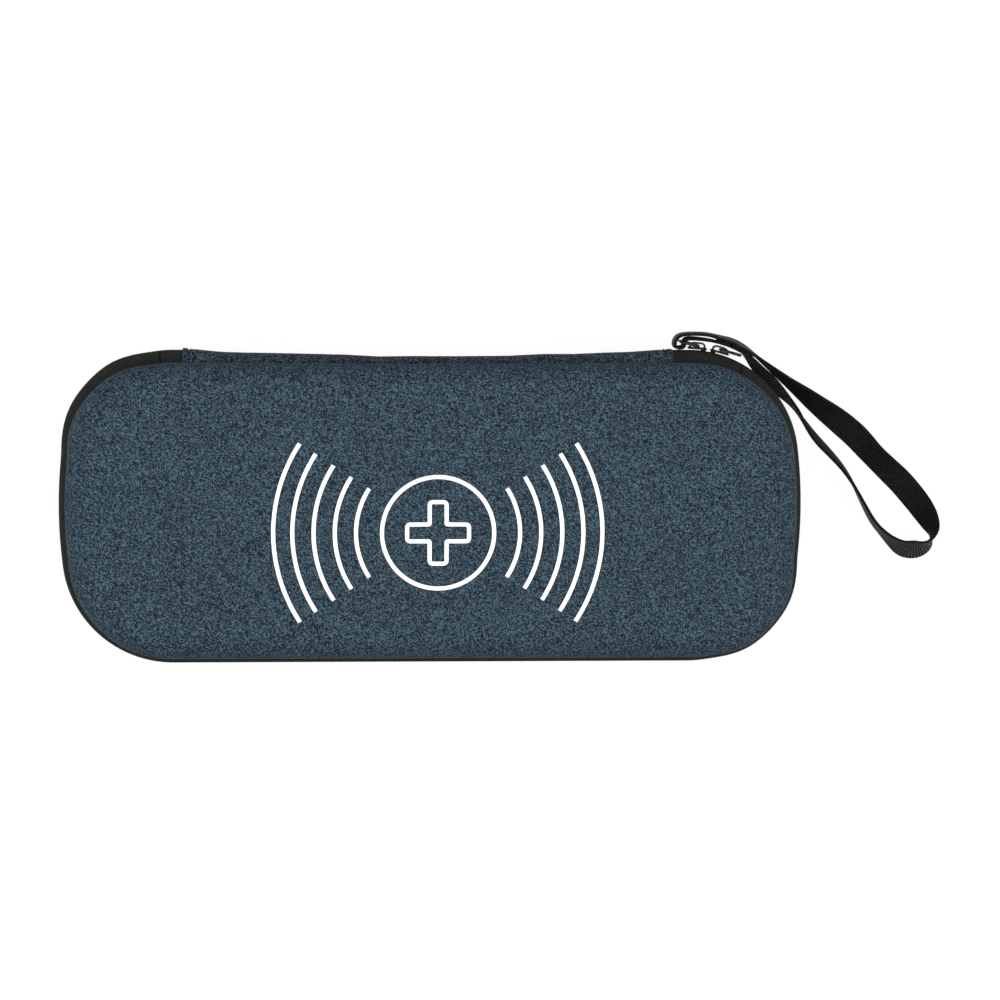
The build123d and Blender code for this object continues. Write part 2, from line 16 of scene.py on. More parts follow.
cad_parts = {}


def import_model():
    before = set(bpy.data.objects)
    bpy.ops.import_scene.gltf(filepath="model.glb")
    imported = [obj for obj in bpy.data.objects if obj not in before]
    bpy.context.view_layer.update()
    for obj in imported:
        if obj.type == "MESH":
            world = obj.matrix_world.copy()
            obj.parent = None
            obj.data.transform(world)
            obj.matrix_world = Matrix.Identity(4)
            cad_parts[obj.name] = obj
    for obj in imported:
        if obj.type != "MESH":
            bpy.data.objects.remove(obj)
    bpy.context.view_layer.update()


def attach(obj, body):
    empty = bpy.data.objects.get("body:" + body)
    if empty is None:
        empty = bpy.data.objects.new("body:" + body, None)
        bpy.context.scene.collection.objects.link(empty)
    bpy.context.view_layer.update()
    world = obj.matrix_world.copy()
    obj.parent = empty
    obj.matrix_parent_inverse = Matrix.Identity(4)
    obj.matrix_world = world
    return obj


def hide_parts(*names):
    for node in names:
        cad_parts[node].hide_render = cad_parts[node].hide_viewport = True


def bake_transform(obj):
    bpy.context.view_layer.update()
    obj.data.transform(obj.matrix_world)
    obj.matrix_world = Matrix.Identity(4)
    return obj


log = logging.getLogger("case")

METRES = 0.001
Colour = tuple[float, float, float]


class Body(Enum):
    """The rigid bodies that pieces ride on."""

    BASE = "base"
    LID = "lid"
    FIRST_SLIDER = "slider_a"
    FIRST_PULLER = "puller_a"
    SECOND_SLIDER = "slider_b"
    SECOND_PULLER = "puller_b"


# ---- shared geometry ---------------------------------------------------------------


def eased(share: np.ndarray | float) -> np.ndarray | float:
    """A share from 0 to 1, eased at both ends."""
    held = np.clip(share, 0.0, 1.0)
    return held * held * (3.0 - 2.0 * held)


def unit(vectors: np.ndarray) -> np.ndarray:
    """Vectors at length one, along the last axis."""
    return vectors / np.maximum(np.linalg.norm(vectors, axis=-1, keepdims=True), 1e-12)


def grid_faces(rows: int, columns: int, ring: bool = False, loop: bool = False) -> np.ndarray:
    """Quads over a grid of points.

    Args:
        rows: number of rows of points.
        columns: points in each row.
        ring: joins each row's last point to its first.
        loop: joins the last row to the first.

    Returns:
        One row of four point numbers per quad.
    """
    row = np.arange(rows if loop else rows - 1)[:, None]
    column = np.arange(columns if ring else columns - 1)[None, :]
    below, beside = (row + 1) % rows, (column + 1) % columns
    corners = (row * columns + column, row * columns + beside,
               below * columns + beside, below * columns + column)
    return np.stack(corners, -1).reshape(-1, 4)


class MeshStock:
    """Points, faces and cloth places gathered for one piece."""

    def __init__(self) -> None:
        """Starts empty."""
        self.points: list[np.ndarray] = []
        self.cloth: list[np.ndarray] = []
        self.faces: list[tuple[int, ...]] = []
        self.finishes: list[int] = []
        self.count = 0

    def add(self, points: np.ndarray, faces: np.ndarray | list, cloth: np.ndarray | None = None,
            finish: int = 0) -> None:
        """Adds one part.

        Args:
            points: its points, in millimetres.
            faces: point numbers of each face, counted from this part's first point.
            cloth: each point's place on the flat cloth, or None for its own x and y.
            finish: which of the piece's finishes it wears.
        """
        flat = np.asarray(points, float).reshape(-1, 3)
        lay = flat[:, :2] if cloth is None else np.asarray(cloth, float).reshape(-1, 2)
        self.points.append(flat)
        self.cloth.append(lay)
        self.faces.extend(tuple(int(i) + self.count for i in face) for face in faces)
        self.finishes.extend([finish] * len(faces))
        self.count += len(flat)

    def join(self, faces: np.ndarray, finish: int) -> None:
        """Adds faces over the points of the part added last, in another finish."""
        start = self.count - len(self.points[-1])
        self.faces.extend(tuple(int(i) + start for i in face) for face in faces)
        self.finishes.extend([finish] * len(faces))

    def make(self, name: str, finishes: list[bpy.types.Material]) -> bpy.types.Object:
        """Turns the stock into a Blender object.

        Args:
            name: the new piece's name.
            finishes: its materials, in the order that add() counts them.

        Returns:
            The new object, in metres, with smooth faces.
        """
        mesh = bpy.data.meshes.new(name)
        points = np.concatenate(self.points)
        mesh.from_pydata((points * METRES).tolist(), [], self.faces)
        lay = mesh.attributes.new("cloth", "FLOAT_VECTOR", "POINT")
        places = np.concatenate([np.concatenate(self.cloth), np.zeros((len(points), 1))], 1)
        lay.data.foreach_set("vector", places.astype(np.float32).ravel())
        mesh.polygons.foreach_set("material_index", self.finishes)
        mesh.polygons.foreach_set("use_smooth", [True] * len(mesh.polygons))
        for finish in finishes:
            mesh.materials.append(finish)
        mesh.update()
        piece = bpy.data.objects.new(name, mesh)
        bpy.context.scene.collection.objects.link(piece)
        return piece


def baked(piece: bpy.types.Object) -> bpy.types.Object:
    """The piece with its modifiers applied."""
    graph = bpy.context.evaluated_depsgraph_get()
    mesh = bpy.data.meshes.new_from_object(piece.evaluated_get(graph))
    piece.modifiers.clear()
    piece.data = mesh
    return piece


def rounded_section(width: float, thick: float, ease: float, steps: int = 3) -> np.ndarray:
    """A rounded rectangle's outline.

    Args:
        width: size along the first axis.
        thick: size along the second axis.
        ease: corner radius.
        steps: spans along each corner.

    Returns:
        Its points, counter-clockwise.
    """
    points = []
    for quarter in range(4):
        middle = (quarter in (0, 3)) * 2 - 1, (quarter in (0, 1)) * 2 - 1
        centre = middle[0] * (width / 2 - ease), middle[1] * (thick / 2 - ease)
        for step in range(steps + 1):
            angle = math.radians(90) * (quarter + step / steps)
            points.append((centre[0] + ease * math.cos(angle), centre[1] + ease * math.sin(angle)))
    return np.array(points)


def swept(path: np.ndarray, side: np.ndarray, lift: np.ndarray, section: np.ndarray,
          loop: bool = False) -> tuple[np.ndarray, list]:
    """One cross-section carried along a path.

    Args:
        path: points of the path.
        side: the section's first axis at each point, or one for all.
        lift: the section's second axis at each point, or one for all.
        section: the section's points.
        loop: the path closes on itself.

    Returns:
        The points and the faces, with flat ends on an open path.
    """
    sides = np.broadcast_to(side, path.shape)[:, None, :]
    lifts = np.broadcast_to(lift, path.shape)[:, None, :]
    points = (path[:, None, :] + sides * section[None, :, 0:1]
              + lifts * section[None, :, 1:2])
    rows, columns = len(path), len(section)
    faces = [tuple(face) for face in grid_faces(rows, columns, ring=True, loop=loop)]
    if not loop:
        faces.append(tuple(range(columns))[::-1])
        faces.append(tuple((rows - 1) * columns + i for i in range(columns)))
    return points.reshape(-1, 3), faces


def headings(path: np.ndarray, loop: bool = False) -> np.ndarray:
    """The direction of travel at each point of a path."""
    if loop:
        return unit(np.roll(path, -1, 0) - np.roll(path, 1, 0))
    return unit(np.gradient(path, axis=0))


def spaced_along(path: np.ndarray, step: float) -> tuple[np.ndarray, np.ndarray]:
    """Even stations along a path.

    Args:
        path: points close together.
        step: the wanted distance between stations.

    Returns:
        The distance travelled at each path point, and the stations' distances.
    """
    gone = np.concatenate([[0.0], np.cumsum(np.linalg.norm(np.diff(path, axis=0), axis=1))])
    return gone, np.linspace(0.0, gone[-1], max(2, int(round(gone[-1] / step)) + 1))


def taken_at(stations: np.ndarray, gone: np.ndarray, values: np.ndarray) -> np.ndarray:
    """Values read off at stations along a path."""
    return np.stack([np.interp(stations, gone, values[:, i]) for i in range(values.shape[1])], 1)


@dataclass(frozen=True)
class Seat:
    """A small local frame: along, up and out."""

    origin: np.ndarray
    along: np.ndarray
    up: np.ndarray
    out: np.ndarray

    def carry(self, points: np.ndarray) -> np.ndarray:
        """Local points, carried into the case's frame."""
        local = np.asarray(points, float).reshape(-1, 3)
        return (self.origin + local[:, 0:1] * self.along + local[:, 1:2] * self.up
                + local[:, 2:3] * self.out)


def bead(length: float, width: float, height: float, rings: int = 4,
         sides: int = 8) -> tuple[np.ndarray, list]:
    """A rounded bar that lies along its first axis.

    Args:
        length: overall length.
        width: size across, along the second axis.
        height: size along the third axis.
        rings: rings of points along it.
        sides: points in each ring.

    Returns:
        Its points and faces, centred on its middle.
    """
    turn = np.linspace(0, 2 * math.pi, sides, endpoint=False)
    places = np.cos(np.linspace(math.pi, 0, rings + 2))[1:-1]
    rows = []
    for place in places:
        full = (1 - abs(place) ** 4) ** 0.5
        rows.append(np.stack([np.full(sides, place * length / 2),
                              np.cos(turn) * full * width / 2,
                              np.sin(turn) * full * height / 2], 1))
    faces = [tuple(face) for face in grid_faces(rings, sides, ring=True)]
    tips = rings * sides
    faces += [(tips, (i + 1) % sides, i) for i in range(sides)]
    last = (rings - 1) * sides
    faces += [(tips + 1, last + i, last + (i + 1) % sides) for i in range(sides)]
    ends = np.array([[-length / 2, 0, 0], [length / 2, 0, 0]])
    return np.concatenate([np.concatenate(rows), ends]), faces


def scattered(shape: tuple[np.ndarray, list], origins: np.ndarray, along: np.ndarray,
              up: np.ndarray, out: np.ndarray) -> tuple[np.ndarray, np.ndarray | list]:
    """Copies of one small shape, each in its own local frame.

    Args:
        shape: the shape's points and faces.
        origins: each copy's place.
        along: each copy's first axis.
        up: each copy's second axis.
        out: each copy's third axis.

    Returns:
        All points and all faces.
    """
    points, faces = shape
    copies = (origins[:, None, :] + along[:, None, :] * points[None, :, 0:1]
              + up[:, None, :] * points[None, :, 1:2] + out[:, None, :] * points[None, :, 2:3])
    starts = np.arange(len(origins)) * len(points)
    every = [tuple(i + start for i in face) for start in starts.tolist() for face in faces]
    return copies.reshape(-1, 3), every


def stitch_row(path: np.ndarray, lift: np.ndarray, pitch: float = 3.0, length: float = 2.3,
               thread: float = 0.45) -> tuple[np.ndarray, list]:
    """A row of stitches along a path.

    Args:
        path: the seam's points.
        lift: the direction out of the cloth at each point, or one for all.
        pitch: from one stitch to the next.
        length: of one stitch.
        thread: thread thickness.

    Returns:
        All points and all faces.
    """
    gone, stations = spaced_along(path, pitch)
    middles = (stations[:-1] + stations[1:]) / 2
    places = taken_at(middles, gone, path)
    along = unit(taken_at(middles, gone, headings(path)))
    out = unit(taken_at(middles, gone, np.broadcast_to(lift, path.shape).copy()))
    return scattered(bead(length, thread, thread * 0.8), places, along, np.cross(out, along), out)


@dataclass(frozen=True)
class Run:
    """One straight or arc of the case's outline, travelled clockwise."""

    length: float
    start: tuple[float, float]
    radius: float
    angle: float


@dataclass(frozen=True)
class RimOutline:
    """The case's outline at its rim: straight sides, bowed ends and four round corners.

    The case lies slightly askew, so that two opposite corners are a little fuller.
    """

    half_length: float = 140.1
    half_width: float = 57.6
    corner_radius: float = 40.0
    end_radius: float = 180.0
    fuller: float = 1.9
    fuller_start: float = 6.0
    fuller_reach: float = 18.0

    @property
    def corner_y(self) -> float:
        """Height of the corner arcs' centres."""
        return self.half_width - self.corner_radius

    @property
    def end_x(self) -> float:
        """Place of the right end arc's centre."""
        return self.half_length - self.end_radius

    @property
    def corner_x(self) -> float:
        """Place of the right corner arcs' centres."""
        return self.end_x + math.sqrt((self.end_radius - self.corner_radius) ** 2
                                      - self.corner_y ** 2)

    @property
    def swing(self) -> float:
        """Half of the angle that an end arc covers."""
        return math.atan2(self.corner_y, self.corner_x - self.end_x)

    @property
    def runs(self) -> list[Run]:
        """Every stretch, clockwise from the middle of the back."""
        quarter, swing = math.pi / 2, self.swing
        x, y, side = self.corner_x, self.corner_y, self.half_width
        bend = self.corner_radius * (quarter - swing)
        bow = self.end_radius * 2 * swing
        return [
            Run(x, (0, side), 0, quarter),
            Run(bend, (x, y), self.corner_radius, quarter),
            Run(bow, (self.end_x, 0), self.end_radius, swing),
            Run(bend, (x, -y), self.corner_radius, -swing),
            Run(2 * x, (x, -side), 0, -quarter),
            Run(bend, (-x, -y), self.corner_radius, -quarter),
            Run(bow, (-self.end_x, 0), self.end_radius, math.pi + swing),
            Run(bend, (-x, y), self.corner_radius, math.pi - swing),
            Run(x, (-x, side), 0, quarter),
        ]

    @property
    def around(self) -> float:
        """The whole way round."""
        return sum(run.length for run in self.runs)

    def place(self, travel: np.ndarray) -> tuple[np.ndarray, np.ndarray]:
        """Points on the rim line.

        Args:
            travel: distances clockwise from the middle of the back.

        Returns:
            The points and their outward directions.
        """
        gone = np.mod(np.asarray(travel, float), self.around)
        points, outward = np.zeros((len(gone), 2)), np.zeros((len(gone), 2))
        begun, slack = 0.0, 1e-9
        for run in self.runs:
            here = (gone >= begun - slack) & (gone <= begun + run.length + slack)
            step = gone[here] - begun
            angle = run.angle - (step / run.radius if run.radius else 0 * step)
            out = np.stack([np.cos(angle), np.sin(angle)], 1)
            ahead = np.stack([out[:, 1], -out[:, 0]], 1)
            far = out * run.radius if run.radius else ahead * step[:, None]
            points[here], outward[here] = np.array(run.start) + far, out
            begun += run.length
        return points + outward * self.swell(points)[:, None], outward

    def swell(self, points: np.ndarray) -> np.ndarray:
        """How much further out the rim lies at its two fuller corners."""
        crossed = -points[:, 0] * points[:, 1] / (self.half_length * self.half_width)
        past = np.abs(points[:, 0]) - self.corner_x - self.fuller_start
        return self.fuller * eased((crossed - 0.3) / 0.35) * eased(past / self.fuller_reach)

    def depth_inside(self, x: np.ndarray, y: np.ndarray) -> np.ndarray:
        """How far inside the rim line points are."""
        reach_x, reach_y = np.abs(x), np.abs(y)
        deep = np.minimum(self.half_width - reach_y,
                          self.end_radius - np.hypot(reach_x - self.end_x, reach_y))
        corner = self.corner_radius - np.hypot(reach_x - self.corner_x, reach_y - self.corner_y)
        in_corner = (reach_x > self.corner_x) & (reach_y > self.corner_y)
        return np.where(in_corner, np.minimum(deep, corner), deep)


@dataclass(frozen=True)
class CaseSizes:
    """Sizes that several sub-assemblies share."""

    outline: RimOutline = field(default_factory=RimOutline)
    zip_z: float = 28.0
    half_gap: float = 6.0
    cover_thick: float = 0.8
    shell_thick: float = 3.6
    wall: float = 5.0
    coil_stand: float = 0.4
    coil_thick: float = 1.5
    tape_thick: float = 0.5
    chain_half: float = 0.55
    coil_width: float = 1.55
    tape_hem: float = 3.4
    hinge_left: float = -95.0
    hinge_right: float = 92.4
    hinge_bow: float = 1.7
    back_draw: float = 1.9
    draw_height: float = 18.0

    @property
    def tape_front(self) -> float:
        """How far the tape's outer face stands out of the rim line."""
        return self.coil_stand + self.coil_thick + self.tape_thick

    def bow(self, x: np.ndarray) -> np.ndarray:
        """How much further the hinge fabric draws the back rims in along their middle."""
        share = np.clip(np.abs(x) / (self.hinge_right + 1.0), 0.0, 1.0)
        return self.hinge_bow * np.cos(share * math.pi / 2) ** 2

    def pull(self, x: np.ndarray, y: np.ndarray, height: np.ndarray | float) -> np.ndarray:
        """How far the back walls are drawn in.

        Args:
            x: places along the case.
            y: places across it.
            height: heights above the rim.

        Returns:
            The distances, towards the front.
        """
        back = eased((y - 10.0) / 35.0) * eased(1.0 - height / self.draw_height)
        return (self.bow(x) + self.back_draw) * back


# ---- finishes ----------------------------------------------------------------------


class NodeBench:
    """A short way to lay out one material's nodes."""

    def __init__(self, name: str) -> None:
        """Starts a material with a bare principled shader."""
        self.material = bpy.data.materials.new(name)
        self.material.use_nodes = True
        self.tree = self.material.node_tree
        self.tree.nodes.clear()
        self.shader = self.add("ShaderNodeBsdfPrincipled", {})
        output = self.add("ShaderNodeOutputMaterial", {})
        self.tree.links.new(self.shader.outputs[0], output.inputs[0])

    def add(self, kind: str, inputs: dict, **settings: object) -> bpy.types.Node:
        """Adds a node.

        Args:
            kind: the node's type.
            inputs: values or sockets by input name or number.
            settings: the node's own options.

        Returns:
            The node.
        """
        node = self.tree.nodes.new(kind)
        for key, value in settings.items():
            setattr(node, key, value)
        for key, value in inputs.items():
            if isinstance(value, bpy.types.NodeSocket):
                self.tree.links.new(value, node.inputs[key])
            else:
                node.inputs[key].default_value = value
        return node

    def wear(self, **inputs: object) -> None:
        """Sets or links the shader's sockets, written with underscores."""
        for key, value in inputs.items():
            socket = self.shader.inputs[key.replace("_", " ").title().replace("Ior", "IOR")]
            if isinstance(value, bpy.types.NodeSocket):
                self.tree.links.new(value, socket)
            elif isinstance(value, tuple) and len(value) == 3:
                socket.default_value = (*value, 1.0)
            else:
                socket.default_value = value

    def cloth(self) -> bpy.types.NodeSocket:
        """Each point's place on the flat cloth, in millimetres."""
        return self.add("ShaderNodeAttribute", {}, attribute_name="cloth").outputs["Vector"]

    def place(self) -> bpy.types.NodeSocket:
        """Each point's place on the object, in metres."""
        return self.add("ShaderNodeTexCoord", {}).outputs["Object"]

    def stretched(self, vector: bpy.types.NodeSocket, scale: Colour,
                  turn: float = 0.0) -> bpy.types.NodeSocket:
        """A place scaled along each axis, and turned about the third."""
        return self.add("ShaderNodeMapping", {"Vector": vector, "Scale": scale,
                                              "Rotation": (0.0, 0.0, turn)}).outputs[0]

    def noise(self, vector: bpy.types.NodeSocket, scale: float, detail: float = 2.0,
              rough: float = 0.5) -> bpy.types.NodeSocket:
        """Soft noise, from 0 to 1."""
        return self.add("ShaderNodeTexNoise", {"Vector": vector, "Scale": scale, "Detail": detail,
                                               "Roughness": rough}).outputs[0]

    def flecks(self, vector: bpy.types.NodeSocket, size: Colour) -> bpy.types.NodeSocket:
        """A random value from 0 to 1 in every small cell of a size."""
        cells = self.add("ShaderNodeVectorMath", {0: vector, 1: size}, operation="SNAP")
        return self.add("ShaderNodeTexWhiteNoise", {"Vector": cells.outputs[0]},
                        noise_dimensions="3D").outputs["Value"]

    def wave(self, vector: bpy.types.NodeSocket, pitch: float, along: str = "X",
             stir: float = 0.0) -> bpy.types.NodeSocket:
        """Even ridges, from 0 to 1.

        Args:
            vector: the place to read.
            pitch: from one ridge to the next, in the place's own unit.
            along: the axis that crosses the ridges.
            stir: how much noise bends them.

        Returns:
            The height's socket.
        """
        scale = math.pi / 10 / pitch
        return self.add("ShaderNodeTexWave",
                        {"Vector": vector, "Scale": scale, "Distortion": stir,
                         "Detail": 1.0, "Detail Scale": 1.5},
                        bands_direction=along).outputs["Fac"]

    def sum(self, kind: str, first: object, second: object) -> bpy.types.NodeSocket:
        """One arithmetic step between two numbers or sockets."""
        return self.add("ShaderNodeMath", {0: first, 1: second}, operation=kind).outputs[0]

    def mixed(self, share: bpy.types.NodeSocket, first: bpy.types.NodeSocket,
              second: bpy.types.NodeSocket) -> bpy.types.NodeSocket:
        """The first number at share 0, the second at 1."""
        return self.add("ShaderNodeMix", {0: share, 2: first, 3: second},
                        data_type="FLOAT").outputs[0]

    def shade(self, share: bpy.types.NodeSocket, stops: list[tuple[float, Colour]]
              ) -> bpy.types.NodeSocket:
        """Colours spread over a share from 0 to 1."""
        node = self.add("ShaderNodeValToRGB", {0: share})
        ramp = node.color_ramp
        while len(ramp.elements) < len(stops):
            ramp.elements.new(0.5)
        for element, (place, colour) in zip(ramp.elements, stops):
            element.position = place
            element.color = (*colour, 1.0)
        return node.outputs[0]

    def bump(self, height: bpy.types.NodeSocket, depth: float, strength: float = 1.0,
             over: bpy.types.NodeSocket | None = None) -> bpy.types.NodeSocket:
        """A bumped normal, its depth in millimetres."""
        inputs = {"Height": height, "Strength": strength, "Distance": depth * METRES}
        if over is not None:
            inputs["Normal"] = over
        return self.add("ShaderNodeBump", inputs).outputs[0]


@dataclass(frozen=True)
class HeatheredTwill:
    """Grey-blue cover cloth: light and dark yarns crossing in a fine twill."""

    name: str = "heathered_twill"
    dark: Colour = (0.0012, 0.0026, 0.0042)
    middle: Colour = (0.0065, 0.0125, 0.0185)
    light: Colour = (0.066, 0.112, 0.150)
    yarn: float = 0.36
    float_length: float = 0.80
    twill: float = 0.92
    rough: float = 0.8
    specular: float = 0.12

    def build(self) -> bpy.types.Material:
        """Lays the yarns out and returns the material."""
        bench = NodeBench(self.name)
        stir = bench.add("ShaderNodeTexNoise", {"Vector": bench.cloth(), "Scale": 0.7,
                                                "Detail": 1.0}).outputs[1]
        cloth = bench.add("ShaderNodeVectorMath", {0: stir, 1: (0.5, 0.5, 0.5),
                                                   2: bench.cloth()},
                          operation="MULTIPLY_ADD").outputs[0]
        warp = bench.flecks(cloth, (self.yarn, self.float_length, 1.0))
        weft = bench.flecks(cloth, (self.float_length, self.yarn, 1.0))
        slope = bench.wave(bench.stretched(cloth, (1.0, 1.0, 1.0), math.radians(38)),
                           self.twill, "Y", 0.3)
        over = bench.add("ShaderNodeMapRange", {0: slope, 1: 0.35, 2: 0.65}).outputs[0]
        yarns = bench.mixed(over, warp, weft)
        rounds = bench.mixed(over, bench.wave(cloth, self.yarn, "X"),
                             bench.wave(cloth, self.yarn, "Y"))
        ridge = bench.sum("ABSOLUTE", bench.sum("SUBTRACT", slope, 0.5), 0.0)
        slubs = bench.noise(bench.stretched(cloth, (0.16, 0.5, 1)), 1.0, 3.0)
        crossed = bench.sum("ADD", bench.sum("MULTIPLY", yarns, 0.62),
                            bench.sum("MULTIPLY", ridge, 0.36))
        crossed = bench.sum("ADD", crossed, bench.sum("MULTIPLY", slubs, 0.06))
        crossed = bench.sum("ADD", crossed, bench.sum("MULTIPLY", rounds, 0.14))
        share = bench.add("ShaderNodeMapRange", {0: crossed, 1: 0.16, 2: 0.9}).outputs[0]
        bench.wear(base_color=bench.shade(share, [(0.0, self.dark), (0.4, self.middle),
                                                  (1.0, self.light)]),
                   roughness=self.rough, specular_ior_level=self.specular,
                   normal=bench.bump(bench.sum("ADD", rounds, ridge), 0.05, 0.6))
        return bench.material


@dataclass(frozen=True)
class RibbedCloth:
    """Dark woven tape, webbing, elastic or binding, with ribs across its length."""

    name: str
    dark: Colour
    light: Colour
    pitch: float
    depth: float = 0.05
    rough: float = 0.8
    turn: float = 0.0
    specular: float = 0.12

    def build(self) -> bpy.types.Material:
        """Lays the ribs and yarns out and returns the material."""
        bench = NodeBench(self.name)
        cloth = bench.stretched(bench.cloth(), (1.0, 1.0, 1.0), math.radians(self.turn))
        ribs = bench.wave(cloth, self.pitch, "X", 0.3)
        yarns = bench.wave(cloth, self.pitch * 0.55, "Y", 0.6)
        fibres = bench.flecks(cloth, (self.pitch, self.pitch * 0.55, 1.0))
        height = bench.sum("ADD", bench.sum("MULTIPLY", ribs, 0.75),
                           bench.sum("MULTIPLY", yarns, 0.25))
        share = bench.sum("ADD", bench.sum("MULTIPLY", height, 0.75),
                          bench.sum("MULTIPLY", fibres, 0.25))
        bench.wear(base_color=bench.shade(share, [(0.25, self.dark), (0.9, self.light)]),
                   roughness=self.rough, specular_ior_level=self.specular,
                   normal=bench.bump(height, self.depth, 0.9))
        return bench.material


@dataclass(frozen=True)
class BrushedLining:
    """Dark brushed lining with a short nap."""

    name: str = "brushed_lining"
    dark: Colour = (0.010, 0.011, 0.013)
    light: Colour = (0.045, 0.048, 0.055)

    def build(self) -> bpy.types.Material:
        """Lays the nap out and returns the material."""
        bench = NodeBench(self.name)
        cloth = bench.cloth()
        nap = bench.noise(bench.stretched(cloth, (1.6, 3.4, 1)), 1.0, 4.0, 0.6)
        patches = bench.noise(cloth, 0.05, 2.0)
        share = bench.sum("ADD", bench.sum("MULTIPLY", nap, 0.7),
                          bench.sum("MULTIPLY", patches, 0.3))
        bench.wear(base_color=bench.shade(share, [(0.25, self.dark), (0.8, self.light)]),
                   roughness=0.95, sheen_weight=0.35, sheen_roughness=0.6,
                   specular_ior_level=0.15, normal=bench.bump(nap, 0.12, 0.8))
        return bench.material


@dataclass(frozen=True)
class MouldedFoam:
    """Pressed closed-cell foam, where a cut edge shows."""

    name: str = "moulded_foam"

    def build(self) -> bpy.types.Material:
        """Lays the pores out and returns the material."""
        bench = NodeBench(self.name)
        place = bench.place()
        pores = bench.add("ShaderNodeTexVoronoi", {"Vector": place, "Scale": 1800.0}).outputs[0]
        cloud = bench.noise(place, 90.0)
        share = bench.sum("MULTIPLY", pores, bench.sum("ADD", cloud, 0.5))
        bench.wear(base_color=bench.shade(share, [(0.0, (0.012, 0.012, 0.014)),
                                                  (0.9, (0.04, 0.04, 0.045))]),
                   roughness=0.9, normal=bench.bump(pores, 0.1, 0.6))
        return bench.material


@dataclass(frozen=True)
class Lacquer:
    """Black lacquer over die-cast metal, rubbed in places."""

    name: str = "black_lacquer"
    colour: Colour = (0.004, 0.004, 0.0045)
    rubbed: Colour = (0.018, 0.018, 0.019)

    def build(self) -> bpy.types.Material:
        """Lays the lacquer out and returns the material."""
        bench = NodeBench(self.name)
        place = bench.place()
        wear = bench.noise(place, 420.0, 4.0, 0.65)
        fine = bench.noise(bench.stretched(place, (1.0, 1.0, 6.0)), 1600.0, 3.0)
        rough = bench.add("ShaderNodeMapRange", {0: wear, 3: 0.34, 4: 0.5}).outputs[0]
        bench.wear(base_color=bench.shade(wear, [(0.45, self.colour), (0.8, self.rubbed)]),
                   roughness=rough, specular_ior_level=0.2, coat_weight=0.12, coat_roughness=0.2,
                   normal=bench.bump(fine, 0.02, 0.35))
        return bench.material


@dataclass(frozen=True)
class MouldedNylon:
    """Dark nylon of the zip's coil and stops."""

    name: str = "coil_nylon"
    dark: Colour = (0.006, 0.006, 0.007)
    light: Colour = (0.02, 0.021, 0.022)

    def build(self) -> bpy.types.Material:
        """Lays the nylon out and returns the material."""
        bench = NodeBench(self.name)
        cloud = bench.noise(bench.place(), 700.0, 3.0)
        bench.wear(base_color=bench.shade(cloud, [(0.3, self.dark), (0.75, self.light)]),
                   roughness=0.42, specular_ior_level=0.5, normal=bench.bump(cloud, 0.03, 0.4))
        return bench.material


@dataclass(frozen=True)
class PrintRubber:
    """White raised print, satin, with the cloth's grain showing faintly through."""

    name: str = "white_print"
    low: Colour = (0.70, 0.71, 0.74)
    high: Colour = (0.88, 0.885, 0.90)

    def build(self) -> bpy.types.Material:
        """Lays the print out and returns the material."""
        bench = NodeBench(self.name)
        place = bench.place()
        grain = bench.noise(place, 1500.0, 2.0)
        cloud = bench.noise(place, 160.0, 3.0)
        share = bench.sum("ADD", bench.sum("MULTIPLY", grain, 0.4),
                          bench.sum("MULTIPLY", cloud, 0.6))
        bench.wear(base_color=bench.shade(share, [(0.3, self.low), (0.7, self.high)]),
                   roughness=0.5, specular_ior_level=0.4, normal=bench.bump(grain, 0.04, 0.5))
        return bench.material


class FinishStore:
    """Every finish of the case, made once."""

    def __init__(self) -> None:
        """Makes the materials."""
        black = (0.0022, 0.0024, 0.0024)
        self.cover = HeatheredTwill().build()
        self.hinge = HeatheredTwill(name="hinge_twill", middle=(0.009, 0.0125, 0.019),
                                    light=(0.085, 0.115, 0.155)).build()
        self.tape = RibbedCloth("zip_tape_weave", black, (0.026, 0.030, 0.026), 0.6,
                                turn=45.0).build()
        self.webbing = RibbedCloth("ribbed_webbing", (0.001, 0.0011, 0.0011),
                                   (0.012, 0.0135, 0.0125), 0.98, 0.06, 0.7,
                                   specular=0.05).build()
        # a lighter copy of the same black webbing for the strap's outer face: the ribbed weave is the
        # webbing's own, its lighter colour is a painted highlight standing in for light catching that face
        self.webbing_painted_highlight = RibbedCloth("webbing_painted_highlight_face", (0.0012, 0.0013, 0.0013),
                                         (0.050, 0.054, 0.052), 0.98, 0.08, 0.6,
                                         specular=0.08).build()
        self.elastic = RibbedCloth("ribbed_elastic", black, (0.026, 0.027, 0.03), 1.2,
                                   0.1).build()
        self.binding = RibbedCloth("binding_weave", black, (0.022, 0.022, 0.025), 0.7).build()
        self.thread = RibbedCloth("sewing_thread", (0.004, 0.005, 0.006), (0.02, 0.022, 0.026),
                                  0.4, 0.04, 0.55).build()
        self.net = RibbedCloth("knitted_net", black, (0.025, 0.025, 0.028), 0.5).build()
        self.lining = BrushedLining().build()
        self.foam = MouldedFoam().build()
        self.lacquer = Lacquer().build()
        self.nylon = MouldedNylon().build()
        self.print = PrintRubber().build()


@dataclass
class SubAssembly:
    """What every sub-assembly needs: the shared sizes and the finishes."""

    sizes: CaseSizes
    finishes: FinishStore

    def seat(self, piece: bpy.types.Object, body: Body, slot: str, *nodes: str) -> None:
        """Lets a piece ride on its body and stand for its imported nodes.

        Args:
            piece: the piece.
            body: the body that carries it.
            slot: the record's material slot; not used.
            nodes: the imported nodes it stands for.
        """
        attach(piece, body.value)
        self.stand_in(piece, slot, *nodes)

    def stand_in(self, piece: bpy.types.Object, slot: str, *nodes: str) -> None:
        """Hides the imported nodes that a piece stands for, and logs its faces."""
        if nodes:
            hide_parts(*nodes)
        log.info("%s: %d faces", piece.name, len(piece.data.polygons))


# ---- wrist strap -------------------------------------------------------------------


